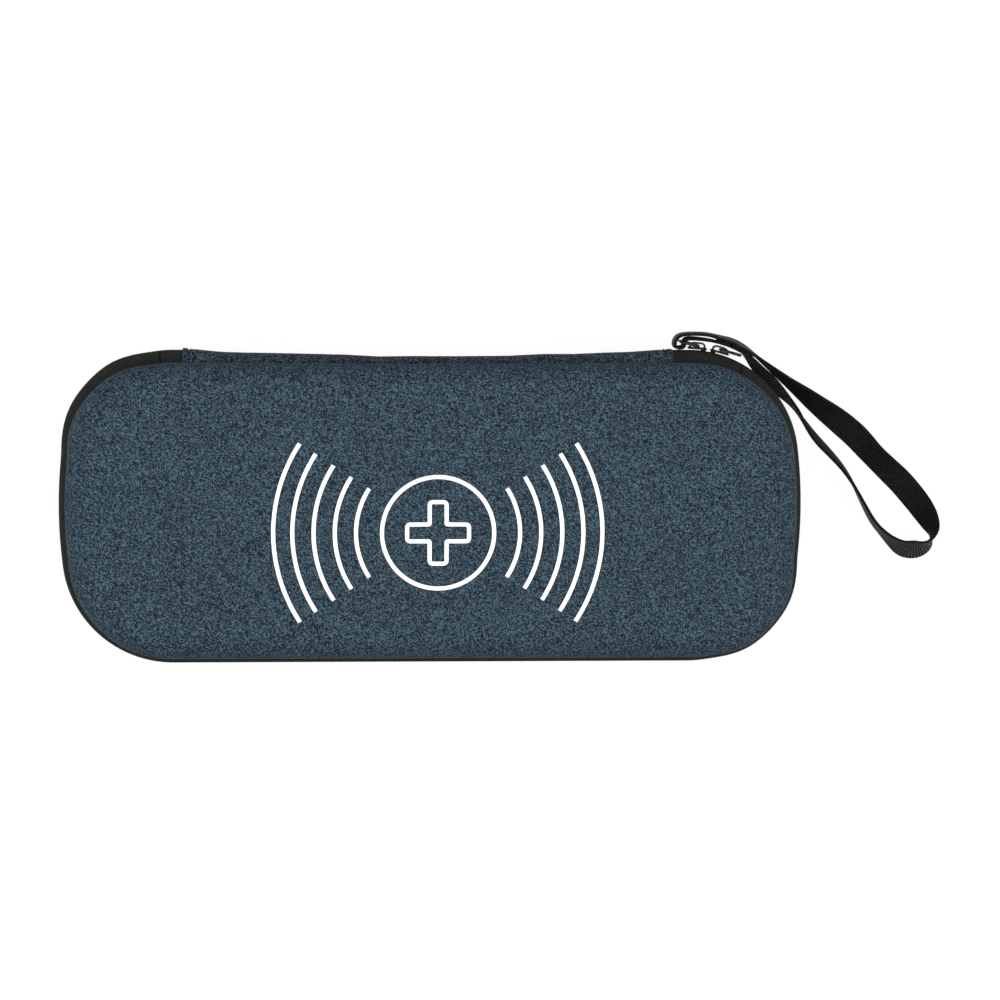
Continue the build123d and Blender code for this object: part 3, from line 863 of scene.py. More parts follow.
@dataclass
class WristStrap(SubAssembly):
    """Ribbed webbing, sewn into a loop through the first puller."""

    width: float = 10.0
    thick: float = 1.2
    length: float = 0.299
    rib_pitch: float = 0.98
    rib_depth: float = 0.085
    exit: tuple[float, float, float] = (0.0952, 0.0627, 0.028)
    # the middle line as it lies: x, y, z in metres, and the lean of the width in degrees
    route: tuple[tuple[float, float, float, float], ...] = (
        (0.1143, 0.06195, 0.02785, 4), (0.1089, 0.0635, 0.028, 1), (0.1035, 0.0643, 0.028, 0),
        (0.0989, 0.0646, 0.028, 0), (0.097, 0.0639, 0.028, 0), (0.0971, 0.061, 0.028, 0),
        (0.0933, 0.061, 0.028, 0), (0.0934, 0.0639, 0.028, 0), (0.0954, 0.066, 0.028, 0),
        (0.1005, 0.06635, 0.028, 0), (0.1063, 0.0661, 0.028, 1), (0.1116, 0.0646, 0.028, 4),
        (0.1155, 0.0636, 0.028, 7), (0.1194, 0.0616, 0.0278, 9), (0.1233, 0.0591, 0.0272, 5),
        (0.1289, 0.0547, 0.0262, -4), (0.1355, 0.0496, 0.0234, -13),
        (0.1425, 0.0446, 0.0186, -26), (0.1508, 0.0381, 0.0125, -46),
        (0.1584, 0.0324, 0.0075, -66), (0.1634, 0.0284, 0.0042, -80),
        (0.1682, 0.0243, 0.0024, -84), (0.1743, 0.0174, 0.003, -62), (0.18, 0.012, 0.0024, -72),
        (0.1856, 0.0068, 0.0012, -86), (0.1903, 0.0013, 0.0018, -80),
        (0.1939, -0.0034, 0.003, -68), (0.1967, -0.008, 0.0044, -48),
        (0.1982, -0.0121, 0.0053, -24), (0.1978, -0.0156, 0.0056, 8),
        (0.1955, -0.0186, 0.0052, 36), (0.1917, -0.02, 0.0045, 50), (0.1873, -0.0198, 0.0044, 47),
        (0.183, -0.0173, 0.0052, 25), (0.179, -0.0139, 0.0055, 11), (0.1744, -0.009, 0.0056, 5),
        (0.1704, -0.0016, 0.0056, 1), (0.1669, 0.0053, 0.0056, -4), (0.1625, 0.0122, 0.0056, -9),
        (0.157, 0.0183, 0.0056, -13), (0.1511, 0.0243, 0.0062, -15), (0.146, 0.031, 0.009, -9),
        (0.1424, 0.0362, 0.0126, 2), (0.1379, 0.0406, 0.0165, 12), (0.1338, 0.0449, 0.02, 20),
        (0.1299, 0.049, 0.0229, 24), (0.1259, 0.053, 0.0249, 17), (0.122, 0.0578, 0.0264, 5),
        (0.1196, 0.0597, 0.0272, 4), (0.1149, 0.06175, 0.0278, 4),
    )

    def spline_points(self, points: np.ndarray) -> np.ndarray:
        """Points of a smooth spline through control points, in metres.

        Args:
            points: the control points.

        Returns:
            The spline's own points.
        """
        line = bpy.data.curves.new("strap_line", "CURVE")
        line.dimensions = "3D"
        line.resolution_u = 24
        spline = line.splines.new("NURBS")
        spline.points.add(len(points) - 1)
        for knot, point in zip(spline.points, points):
            knot.co = (*point, 1.0)
        spline.order_u = 3
        spline.use_endpoint_u = True
        holder = bpy.data.objects.new("strap_line", line)
        bpy.context.scene.collection.objects.link(holder)
        mesh = bpy.data.meshes.new_from_object(holder)
        found = np.array([vertex.co for vertex in mesh.vertices])
        bpy.data.objects.remove(holder)
        bpy.data.curves.remove(line)
        bpy.data.meshes.remove(mesh)
        return found

    def lean_ends(self) -> np.ndarray:
        """A point beside each control point, towards the strap's upper edge."""
        points = np.array([knot[:3] for knot in self.route])
        leans = np.radians([knot[3] for knot in self.route])[:, None]
        ahead = headings(points)
        right = unit(np.cross(ahead, (0.0, 0.0, 1.0)))
        upright = np.cross(right, ahead)
        across = upright * np.cos(leans) + right * np.sin(leans)
        return points + across * self.width / 2 * METRES

    def laid_line(self, step: float) -> tuple[np.ndarray, np.ndarray, np.ndarray]:
        """The strap's line, the way across it and the way out of its face, in millimetres."""
        centre = self.spline_points(np.array([knot[:3] for knot in self.route])) / METRES
        edge = self.spline_points(self.lean_ends()) / METRES
        gone, stations = spaced_along(centre, step)
        path = taken_at(stations, gone, centre)
        across = taken_at(stations, gone, edge) - path
        ahead = headings(path)
        across = unit(across - ahead * np.sum(across * ahead, 1, keepdims=True))
        return path, across, np.cross(ahead, across)

    def ribbon(self, stock: MeshStock, path: np.ndarray, across: np.ndarray,
               face: np.ndarray, thick: float) -> None:
        """Adds webbing along a line, with its ribs and firmer edges.

        Args:
            stock: where it goes, its outer face in the second finish.
            path: the middle line, evenly spaced.
            across: the direction of its width.
            face: the direction out of its inner face.
            thick: its thickness.
        """
        section = rounded_section(self.width, thick, thick * 0.45, 3)
        across_face = 7
        flats = np.linspace(-self.width / 2 + 0.9, self.width / 2 - 0.9, across_face)
        upper = np.stack([flats[::-1], np.full(across_face, thick / 2)], 1)
        lower = np.stack([flats, np.full(across_face, -thick / 2)], 1)
        section = np.concatenate([section[:4], upper, section[4:8], section[8:12], lower,
                                  section[12:]])
        travel = spaced_along(path, 1.0)[0]
        swell = -np.cos(travel * 2 * math.pi / self.rib_pitch)
        ribbed = np.clip((self.width / 2 - 0.55 - np.abs(section[:, 0])) / 0.5, 0, 1)
        rise = self.rib_depth * swell[:, None] * ribbed[None, :] * np.sign(section[:, 1])[None, :]
        points = (path[:, None, :] + across[:, None, :] * section[None, :, 0:1]
                  + face[:, None, :] * (section[None, :, 1] + rise)[:, :, None])
        rows, count = points.shape[:2]
        cloth = np.stack(np.broadcast_arrays(travel[:, None], section[None, :, 0]), -1)
        grid = grid_faces(rows, count, ring=True).reshape(rows - 1, count, 4)
        ends = [tuple(range(count))[::-1], tuple((rows - 1) * count + i for i in range(count))]
        # the outer face, from the corner before the lower flat to the one after it
        outer = slice(across_face + 10, 2 * across_face + 13)
        inner = np.delete(grid, np.r_[outer], axis=1).reshape(-1, 4)
        stock.add(points, [*inner.tolist(), *ends], cloth)
        stock.join(grid[:, outer].reshape(-1, 4), 1)

    def sewn_join(self, path: np.ndarray, across: np.ndarray,
                  face: np.ndarray) -> bpy.types.Object:
        """The second ply over the strap's two ends, with its stitched box."""
        before, after = 16, 24
        ends = [np.concatenate([line[-before:], line[:after]]) for line in (path, across, face)]
        gone, stations = spaced_along(ends[0], 0.2)
        line, over, out = (taken_at(stations, gone, values) for values in ends)
        over, out = unit(over), unit(out)
        out = unit(out - over * np.sum(out * over, 1, keepdims=True))
        lifted = line + out * 1.08
        stock = MeshStock()
        self.ribbon(stock, lifted, over, out, 0.8)
        top, box_half, box_end = lifted + out * 0.46, 3.6, 4
        for side in (-box_half, box_half):
            stock.add(*stitch_row(top + over * side, out, 1.9, 1.5, 0.4), finish=2)
        for row in (box_end, len(top) - 1 - box_end):
            seam = top[row] + np.linspace(-box_half, box_half, 20)[:, None] * over[row]
            stock.add(*stitch_row(seam, out[row], 1.9, 1.5, 0.4), finish=2)
        return stock.make("strap_sewn_join", [self.finishes.webbing, self.finishes.webbing,
                                              self.finishes.thread])

    def build(self) -> None:
        path, across, face = self.laid_line(0.196)
        stock = MeshStock()
        self.ribbon(stock, path, across, face, self.thick)
        # the outer face wears the lighter copy of the webbing: a painted highlight over the same black
        # cloth
        strap = stock.make("wrist_strap_webbing",
                           [self.finishes.webbing, self.finishes.webbing_painted_highlight])
        join = self.sewn_join(path, across, face)
        self.stand_in(strap, "strap_webbing", "wrist_strap")
        self.seat(strap, Body.FIRST_SLIDER, "strap_webbing")
        self.seat(join, Body.FIRST_SLIDER, "strap_webbing", "strap_join")


# ---- moulded trays -----------------------------------------------------------------


@dataclass
class MouldedTray(SubAssembly):
    """One half of the case: cover cloth, foam shell, lining and the binding inside its rim."""

    label: str = "lid"
    body: Body = Body.LID
    upward: int = 1
    depth: float = 21.6
    shoulder: float = 11.0
    crown: float = 0.8
    draft: float = math.radians(4.0)
    turn_in: float = 30.0
    binding_in: float = 4.5

    @property
    def rim_z(self) -> float:
        """Height of the rim."""
        return self.sizes.zip_z + self.upward * self.sizes.half_gap

    def arc_centre(self, inset: float) -> tuple[float, float, float]:
        """A layer's shoulder: its radius, and its centre's distance in and height."""
        radius = self.shoulder - inset
        height = self.depth - inset
        foot = height - radius + radius * math.sin(self.draft)
        return radius, inset + foot * math.tan(self.draft) + radius * math.cos(self.draft), foot

    def profile(self, inset: float, rolled: bool, fine: bool) -> tuple[np.ndarray, float]:
        """A layer's section from the rim to where the flat face starts.

        Args:
            inset: the layer's distance inside the outer skin.
            rolled: rounds the rim's outer edge.
            fine: more points.

        Returns:
            Points as (distance in, height above the rim), and the shoulder centre's depth.
        """
        radius, centre, foot = self.arc_centre(inset)
        heights = np.linspace(0.4 if rolled else 0.0, foot, 9 if fine else 4)
        wall = np.stack([inset + heights * math.tan(self.draft), heights], 1)
        angles = np.linspace(self.draft, math.pi / 2, 13 if fine else 6)[1:]
        top = self.depth - inset - radius
        arc = np.stack([centre - radius * np.cos(angles), top + radius * np.sin(angles)], 1)
        start = [(inset + 0.8, 0.0), (inset + 0.4, 0.0), (inset + 0.12, 0.12)] if rolled else []
        return np.array([*start, *wall, *arc]), centre

    def face_rise(self, deep: np.ndarray, centre: float) -> np.ndarray:
        """How far the crowned face stands above its edge, by the distance inside the rim."""
        return self.crown * eased((deep - centre) / (self.sizes.outline.half_width - centre))

    def skin(self, inset: float, around: int, rolled: bool = False,
             fine: bool = True) -> tuple[np.ndarray, np.ndarray]:
        """A layer's surface, as rings from the rim to the middle of its face.

        Args:
            inset: the layer's distance inside the outer skin.
            around: points in each ring.
            rolled: rounds the rim's outer edge.
            fine: more rings.

        Returns:
            Points and cloth places, both by ring.
        """
        outline = self.sizes.outline
        stations = np.linspace(0, outline.around, around, endpoint=False)
        rim, outward = outline.place(stations)
        section, centre = self.profile(inset, rolled, fine)
        lengths = np.concatenate([np.cumsum(np.linalg.norm(np.diff(section, axis=0),
                                                           axis=1)[::-1])[::-1], [0.0]])
        rings, lays = [], []
        face_edge = rim - outward * centre
        for (deep, height), run in zip(section, lengths):
            flat = rim - outward * deep
            rings.append(self.lifted(flat, np.full(around, height)))
            lays.append(face_edge + outward * run)
        for deep in np.linspace(centre, self.turn_in, 5 if fine else 3)[1:]:
            flat = rim - outward * deep
            rise = self.face_rise(np.full(around, deep), centre)
            rings.append(self.lifted(flat, self.depth - inset + rise))
            lays.append(flat)
        inner = rim - outward * self.turn_in
        spine = np.stack([np.clip(inner[:, 0], -outline.corner_x, outline.corner_x) * 0.97,
                          np.zeros(around)], 1)
        for share in np.linspace(0, 1, 8 if fine else 4)[1:]:
            flat = inner + (spine - inner) * share
            deep = self.turn_in + (outline.half_width - self.turn_in) * share
            rise = self.face_rise(np.full(around, deep), centre)
            rings.append(self.lifted(flat, self.depth - inset + rise))
            lays.append(flat)
        return np.array(rings), np.array(lays)

    def lifted(self, flat: np.ndarray, height: np.ndarray) -> np.ndarray:
        """Flat points at heights above the rim, drawn in where the hinge pulls."""
        pull = self.sizes.pull(flat[:, 0], flat[:, 1], height)
        level = self.rim_z + self.upward * height
        return np.stack([flat[:, 0], flat[:, 1] - pull, level], 1)

    def layer(self, name: str, outer: float, inner: float, finish: bpy.types.Material,
              around: int, rolled: bool = False) -> bpy.types.Object:
        """A closed layer between two insets.

        Args:
            name: the piece's name.
            outer: the outer surface's inset.
            inner: the inner surface's inset.
            finish: its material.
            around: points in each ring.
            rolled: rounds the rim's outer edge, with a finer surface.

        Returns:
            The new piece.
        """
        stock = MeshStock()
        outside, outside_lay = self.skin(outer, around, rolled, rolled)
        inside, inside_lay = self.skin(inner, around, False, False)
        if self.upward < 0:
            outside, inside = outside[:, ::-1], inside[:, ::-1]
            outside_lay, inside_lay = outside_lay[:, ::-1], inside_lay[:, ::-1]
        rows = np.concatenate([outside[::-1], inside])
        lays = np.concatenate([outside_lay[::-1], inside_lay])
        stock.add(rows, grid_faces(len(rows), around, ring=True)[:, ::-1], lays)
        return stock.make(name, [finish])

    def binding_line(self, deep: float, height: float, count: int = 700) -> np.ndarray:
        """A closed line inside the rim, at a distance in and a height above the rim."""
        stations = np.linspace(0, self.sizes.outline.around, count, endpoint=False)
        rim, outward = self.sizes.outline.place(stations)
        return self.lifted(rim - outward * deep, np.full(count, height))

    def binding(self) -> bpy.types.Object:
        """The sewn binding that covers the rim inside, with its stitches."""
        stock = MeshStock()
        middle = self.binding_line(self.binding_in, -0.75)
        ahead = headings(middle, loop=True)
        up = np.array([0.0, 0.0, float(self.upward)])
        side = np.cross(ahead, up)
        points, faces = swept(middle, side, up, rounded_section(2.2, 1.5, 0.55, 3), loop=True)
        travel = np.repeat(spaced_along(middle, 1.0)[0], 16)
        stock.add(points, faces, np.stack([travel, points[:, 2]], 1))
        seam = self.binding_line(self.binding_in, -1.52)
        stock.add(*stitch_row(seam, -up, 3.2, 2.4, 0.42), finish=1)
        return stock.make(f"{self.label}_rim_binding",
                          [self.finishes.binding, self.finishes.thread])

    def build(self) -> None:
        """Makes the tray's layers and its binding."""
        sizes, inner = self.sizes, self.sizes.cover_thick + self.sizes.shell_thick
        cover = self.layer(f"{self.label}_cover_cloth", 0.0, sizes.cover_thick,
                           self.finishes.cover, 760, rolled=True)
        self.seat(cover, self.body, "cover_fabric", f"{self.label}_cover")
        shell = self.layer(f"{self.label}_foam_shell", sizes.cover_thick + 0.02, inner,
                           self.finishes.foam, 360)
        self.seat(shell, self.body, "shell_foam", f"{self.label}_shell")
        lining = self.layer(f"{self.label}_nap_lining", inner + 0.02, sizes.wall,
                            self.finishes.lining, 360)
        self.seat(lining, self.body, "lining_fabric", f"{self.label}_lining")
        self.seat(self.binding(), self.body, "binding_fabric", f"{self.label}_binding")


# ---- zip ---------------------------------------------------------------------------


@dataclass
class ZipChain(SubAssembly):
    """The two tapes with their coils and end stops, round all sides but the hinge."""

    pitch: float = 1.36
    tooth_width: float = 0.64
    tape_flat: float = 3.6
    tucked: float = 3.8
    part_angle: float = 62.0
    part_gap: float = 0.3
    left_loose: float = 8.0
    coil_start: float = 95.9
    stop_width: float = 3.8
    stop_length: float = 1.2

    @property
    def right_start(self) -> float:
        """Where the tapes leave the hinge at the right, by the way round."""
        return self.sizes.hinge_right + 0.2

    @property
    def right_part(self) -> float:
        """Where the lid's tape parts beside the second slider."""
        outline = self.sizes.outline
        return outline.corner_x + outline.corner_radius * math.radians(90 - self.part_angle)

    @property
    def left_end(self) -> float:
        """Where the tapes reach the hinge at the left."""
        return self.sizes.outline.around + self.sizes.hinge_left - 0.2

    def tape(self, name: str, side: int, start: float, stop: float) -> bpy.types.Object:
        """One stretch of tape.

        Args:
            name: the piece's name.
            side: 1 for the lid's tape, -1 for the base's.
            start: where it starts, by the way round.
            stop: where it ends.

        Returns:
            The new piece.
        """
        sizes = self.sizes
        front, back = sizes.tape_front, sizes.tape_front - sizes.tape_thick
        rim = sizes.half_gap - 0.08
        section = np.array([
            (back + 0.06, 0.3), (front - 0.12, 0.28), (front, 0.5), (front + 0.02, 1.6),
            (front, self.tape_flat - 0.5), (front - 0.22, self.tape_flat + 0.5), (1.5, 5.0),
            (0.75, 5.62), (-0.4, rim), (-sizes.tape_hem, rim), (-sizes.tape_hem, rim - 0.45),
            (-0.5, rim - 0.5), (0.5, 5.1), (1.1, 4.5), (back - 0.1, self.tape_flat),
            (back, self.tape_flat - 0.6),
        ])
        count = max(8, int((stop - start) / 0.8))
        stations = np.linspace(start, stop, count)
        flat, outward = sizes.outline.place(stations)
        path = np.concatenate([flat, np.full((count, 1), sizes.zip_z)], 1)
        out = np.concatenate([outward, np.zeros((count, 1))], 1)
        points, faces = swept(path, out, np.array([0.0, 0.0, float(side)]), section)
        drawn = sizes.pull(flat[:, 0], flat[:, 1], 0.0)
        share = eased((section[:, 1] - 2.6) / 3.2)
        points = points.reshape(count, len(section), 3)
        points[:, :, 1] -= drawn[:, None] * share[None, :]
        run = np.repeat(stations, len(section))
        across = np.tile([height - reach for reach, height in section], count)
        stock = MeshStock()
        stock.add(points, faces, np.stack([run, across], 1))
        return stock.make(name, [self.finishes.tape])

    def coil(self, name: str, side: int, start: float, stop: float) -> bpy.types.Object:
        """One stretch of coil, a row of close-set turns with their heads at the middle.

        Args:
            name: the piece's name.
            side: 1 for the lid's coil, -1 for the base's.
            start: where it starts, by the way round.
            stop: where it ends.

        Returns:
            The new piece.
        """
        sizes = self.sizes
        shift = 0.5 if side > 0 else 0.0
        numbers = np.arange(math.ceil(start / self.pitch - shift),
                            math.floor(stop / self.pitch - shift) + 1)
        stations = (numbers + shift) * self.pitch
        flat, outward = sizes.outline.place(stations)
        count = len(stations)
        top = sizes.chain_half + sizes.coil_width
        reach = top + 0.12
        out = np.concatenate([outward, np.zeros((count, 1))], 1)
        middle = sizes.coil_stand + sizes.coil_thick / 2
        level = np.full((count, 1), sizes.zip_z + side * (top - reach / 2))
        origins = np.concatenate([flat, level], 1) + out * middle
        up = np.tile((0.0, 0.0, float(side)), (count, 1))
        stock = MeshStock()
        leg = bead(reach, self.tooth_width, sizes.coil_thick, 4, 8)
        stock.add(*scattered(leg, origins, up, np.cross(out, up), out))
        return stock.make(name, [self.finishes.nylon])

    def stop(self, name: str, at: float) -> bpy.types.Object:
        """A moulded stop across the chain's end."""
        sizes = self.sizes
        flat, outward = sizes.outline.place(np.array([at]))
        out = np.array([*outward[0], 0.0])
        up = np.array([0.0, 0.0, 1.0])
        start = np.array([*flat[0], sizes.zip_z]) + out * sizes.coil_stand
        path = start + np.array([0.0, 0.4, 1.1, 1.4])[:, None] * out
        section = rounded_section(self.stop_length, self.stop_width, 0.35, 3)
        points, faces = swept(path, np.cross(up, out), up, section)
        points = points.reshape(4, -1, 3)
        points[-1] = points[-1].mean(0) + (points[-1] - points[-1].mean(0)) * 0.75
        stock = MeshStock()
        stock.add(points, faces)
        return stock.make(name, [self.finishes.nylon])

    def bend_with_lid(self, piece: bpy.types.Object, low: float, high: float) -> None:
        """Bakes a loose end's place into its mesh; it does not bend with the lid."""
        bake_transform(piece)

    def build(self) -> None:
        """Makes both tapes, both coils and the stops."""
        near, far, part = self.right_start, self.left_end, self.right_part
        left_part = far - self.left_loose
        coil_start, coil_stop = self.coil_start, far
        base_tape = self.tape("base_zip_tape", -1, near - self.tucked, far + self.tucked)
        self.seat(base_tape, Body.BASE, "zip_tape", "zip_tape_base")
        base_coil = self.coil("base_zip_coil", -1, coil_start, coil_stop)
        self.seat(base_coil, Body.BASE, "zip_coil", "zip_coil_base")
        lid_tape = self.tape("lid_zip_tape", 1, part + self.part_gap, left_part - self.part_gap)
        self.seat(lid_tape, Body.LID, "zip_tape", "zip_tape_lid")
        lid_coil = self.coil("lid_zip_coil", 1, part + 0.8, left_part - 0.8)
        self.seat(lid_coil, Body.LID, "zip_coil", "zip_coil_lid")
        for side, start, stop in (("right", near - self.tucked, part),
                                  ("left", left_part, far + self.tucked)):
            end = self.tape(f"lid_tape_{side}_end", 1, start, stop)
            self.stand_in(end, "zip_tape", f"zip_tape_lid_{side}_end")
            self.bend_with_lid(end, 31.0, 34.0)
        right_coil = self.coil("lid_coil_right_end", 1, coil_start, part)
        self.seat(right_coil, Body.BASE, "zip_coil", "zip_coil_lid_right_end")
        left_coil = self.coil("lid_coil_left_end", 1, left_part, coil_stop)
        self.seat(left_coil, Body.BASE, "zip_coil", "zip_coil_lid_left_end")
        right_stop = self.stop("right_end_stop", self.coil_start - self.stop_length / 2)
        self.seat(right_stop, Body.BASE, "zip_coil", "zip_stop_right")
        left_stop = self.stop("left_end_stop", far + self.stop_length / 2)
        self.seat(left_stop, Body.BASE, "zip_coil", "zip_stop_left")


# ---- fabric hinge ------------------------------------------------------------------


@dataclass
class FabricHinge(SubAssembly):
    """The cloth gusset along the back and its lining inside."""

    bulge: float = 2.8
    sag: float = 1.1
    thick: float = 0.5
    turned_edge: float = 2.2
    turned_rise: float = 0.3
    groove_depth: float = 0.5
    lining_inset: float = 8.4
    seed: int = 11

    def strip(self, name: str, left: float, right: float, bulge: float, lift: float,
              finish: bpy.types.Material, pucker: float) -> bpy.types.Object:
        """Cloth between the two rims.

        Args:
            name: the piece's name.
            left: its left end.
            right: its right end.
            bulge: how far it stands out from the rim line.
            lift: half its height.
            finish: its material.
            pucker: depth of the small puckers beside its seams.

        Returns:
            The new piece.
        """
        sizes = self.sizes
        ends, rows = np.linspace(0, 6, 46), 25
        x = np.unique(np.concatenate([np.linspace(left, right, 360), left + ends, right - ends]))
        columns = len(x)
        share = np.linspace(-1, 1, rows)
        random = np.random.default_rng(self.seed)
        kinks = np.interp(x, np.linspace(left, right, 70), random.normal(0, 1, 70))
        slow = np.interp(x, np.linspace(left, right, 16), random.normal(0, 1, 16))
        edge = np.minimum(x - sizes.hinge_left, sizes.hinge_right - x)
        front = self.front_line(x, edge, bulge)[:, None]
        rim = -(sizes.bow(x) + sizes.back_draw)[:, None]
        full = (1 - np.abs(share) ** 3.0) ** 0.75 - 0.1 * np.exp(-(share / 0.2) ** 2)
        reach = rim + (front - rim) * full[None, :]
        loose = (np.abs(share) ** 2 * (1 - np.abs(share) ** 6))[None, :]
        reach = reach + pucker * (kinks[:, None] * loose + slow[:, None] * (1 - share ** 2))
        if pucker:
            doubled = eased((self.turned_edge - edge) / 0.5)
            groove = np.exp(-((edge - self.turned_edge - 0.35) / 0.42) ** 2)
            reach = reach + ((self.turned_rise * doubled - self.groove_depth * groove)[:, None]
                             * (1 - share ** 8)[None, :])
        y = sizes.outline.half_width + reach
        z = sizes.zip_z + lift * share[None, :] + 0 * x[:, None]
        grid = np.stack([np.broadcast_to(x[:, None], y.shape), y, z], -1)
        hems = []
        for row, sign in ((0, -1), (-1, 1)):
            hem = grid[:, row].copy()
            hem[:, 1] -= sizes.tape_hem
            hem[:, 2] = sizes.zip_z + sign * lift
            hems.append(hem)
        grid = np.concatenate([hems[0][:, None], grid, hems[1][:, None]], 1)
        travel = spaced_along(grid[columns // 2], 1.0)[0] - lift
        cloth = np.stack(np.broadcast_arrays(x[:, None], travel[None, :]), -1)
        stock = MeshStock()
        stock.add(grid, grid_faces(columns, rows + 2), cloth)
        piece = stock.make(name, [finish, self.finishes.thread])
        solid = piece.modifiers.new("thickness", "SOLIDIFY")
        solid.thickness = self.thick * METRES
        solid.offset = -1.0 if pucker > 0 else 1.0
        baked(piece)
        return piece

    def front_line(self, x: np.ndarray, edge: np.ndarray, bulge: float) -> np.ndarray:
        """How far the cloth's middle stands out of the rim line.

        Args:
            x: places along the hinge.
            edge: their distances from its nearer end.
            bulge: how far its ends stand out.

        Returns:
            The distances.
        """
        return bulge - self.sag * eased(edge / 18.0) - self.sizes.bow(x)

    def end_stitches(self) -> bpy.types.Object:
        """The upright rows of stitches beside the gusset's turned ends."""
        sizes = self.sizes
        stock = MeshStock()
        share = np.linspace(-0.92, 0.92, 30)
        for place, inward in ((sizes.hinge_left, 1.0), (sizes.hinge_right, -1.0)):
            edge = np.array([self.turned_edge + 0.7])
            x = place + inward * edge
            front = float(self.front_line(x, edge, self.bulge)[0])
            rim = -float(sizes.bow(x)[0] + sizes.back_draw)
            full = (1 - np.abs(share) ** 3.0) ** 0.75 - 0.1 * np.exp(-(share / 0.2) ** 2)
            path = np.stack([np.full(30, x[0]),
                             sizes.outline.half_width + rim + (front - rim) * full + 0.12,
                             sizes.zip_z + 5.85 * share], 1)
            stock.add(*stitch_row(path, np.array([0.0, 1.0, 0.0]), 2.6, 2.0, 0.4))
        return stock.make("hinge_end_stitches", [self.finishes.thread])

    def build(self) -> None:
        """Makes the gusset, its lining and its stitches, each with its transform baked in."""
        sizes = self.sizes
        gusset = self.strip("hinge_gusset_cloth", sizes.hinge_left, sizes.hinge_right,
                            self.bulge, sizes.half_gap - 0.08, self.finishes.hinge, 0.14)
        lining = self.strip("hinge_inner_lining", sizes.hinge_left + self.lining_inset,
                            sizes.hinge_right - self.lining_inset, self.bulge - 0.95,
                            sizes.half_gap - 0.75,
                            self.finishes.lining, 0.0)
        stitches = self.end_stitches()
        self.stand_in(gusset, "hinge_fabric", "hinge_gusset")
        self.stand_in(lining, "lining_fabric", "hinge_lining")
        self.stand_in(stitches, "hinge_fabric")
        for piece in (gusset, lining, stitches):
            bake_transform(piece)


# ---- sliders and pullers -----------------------------------------------------------


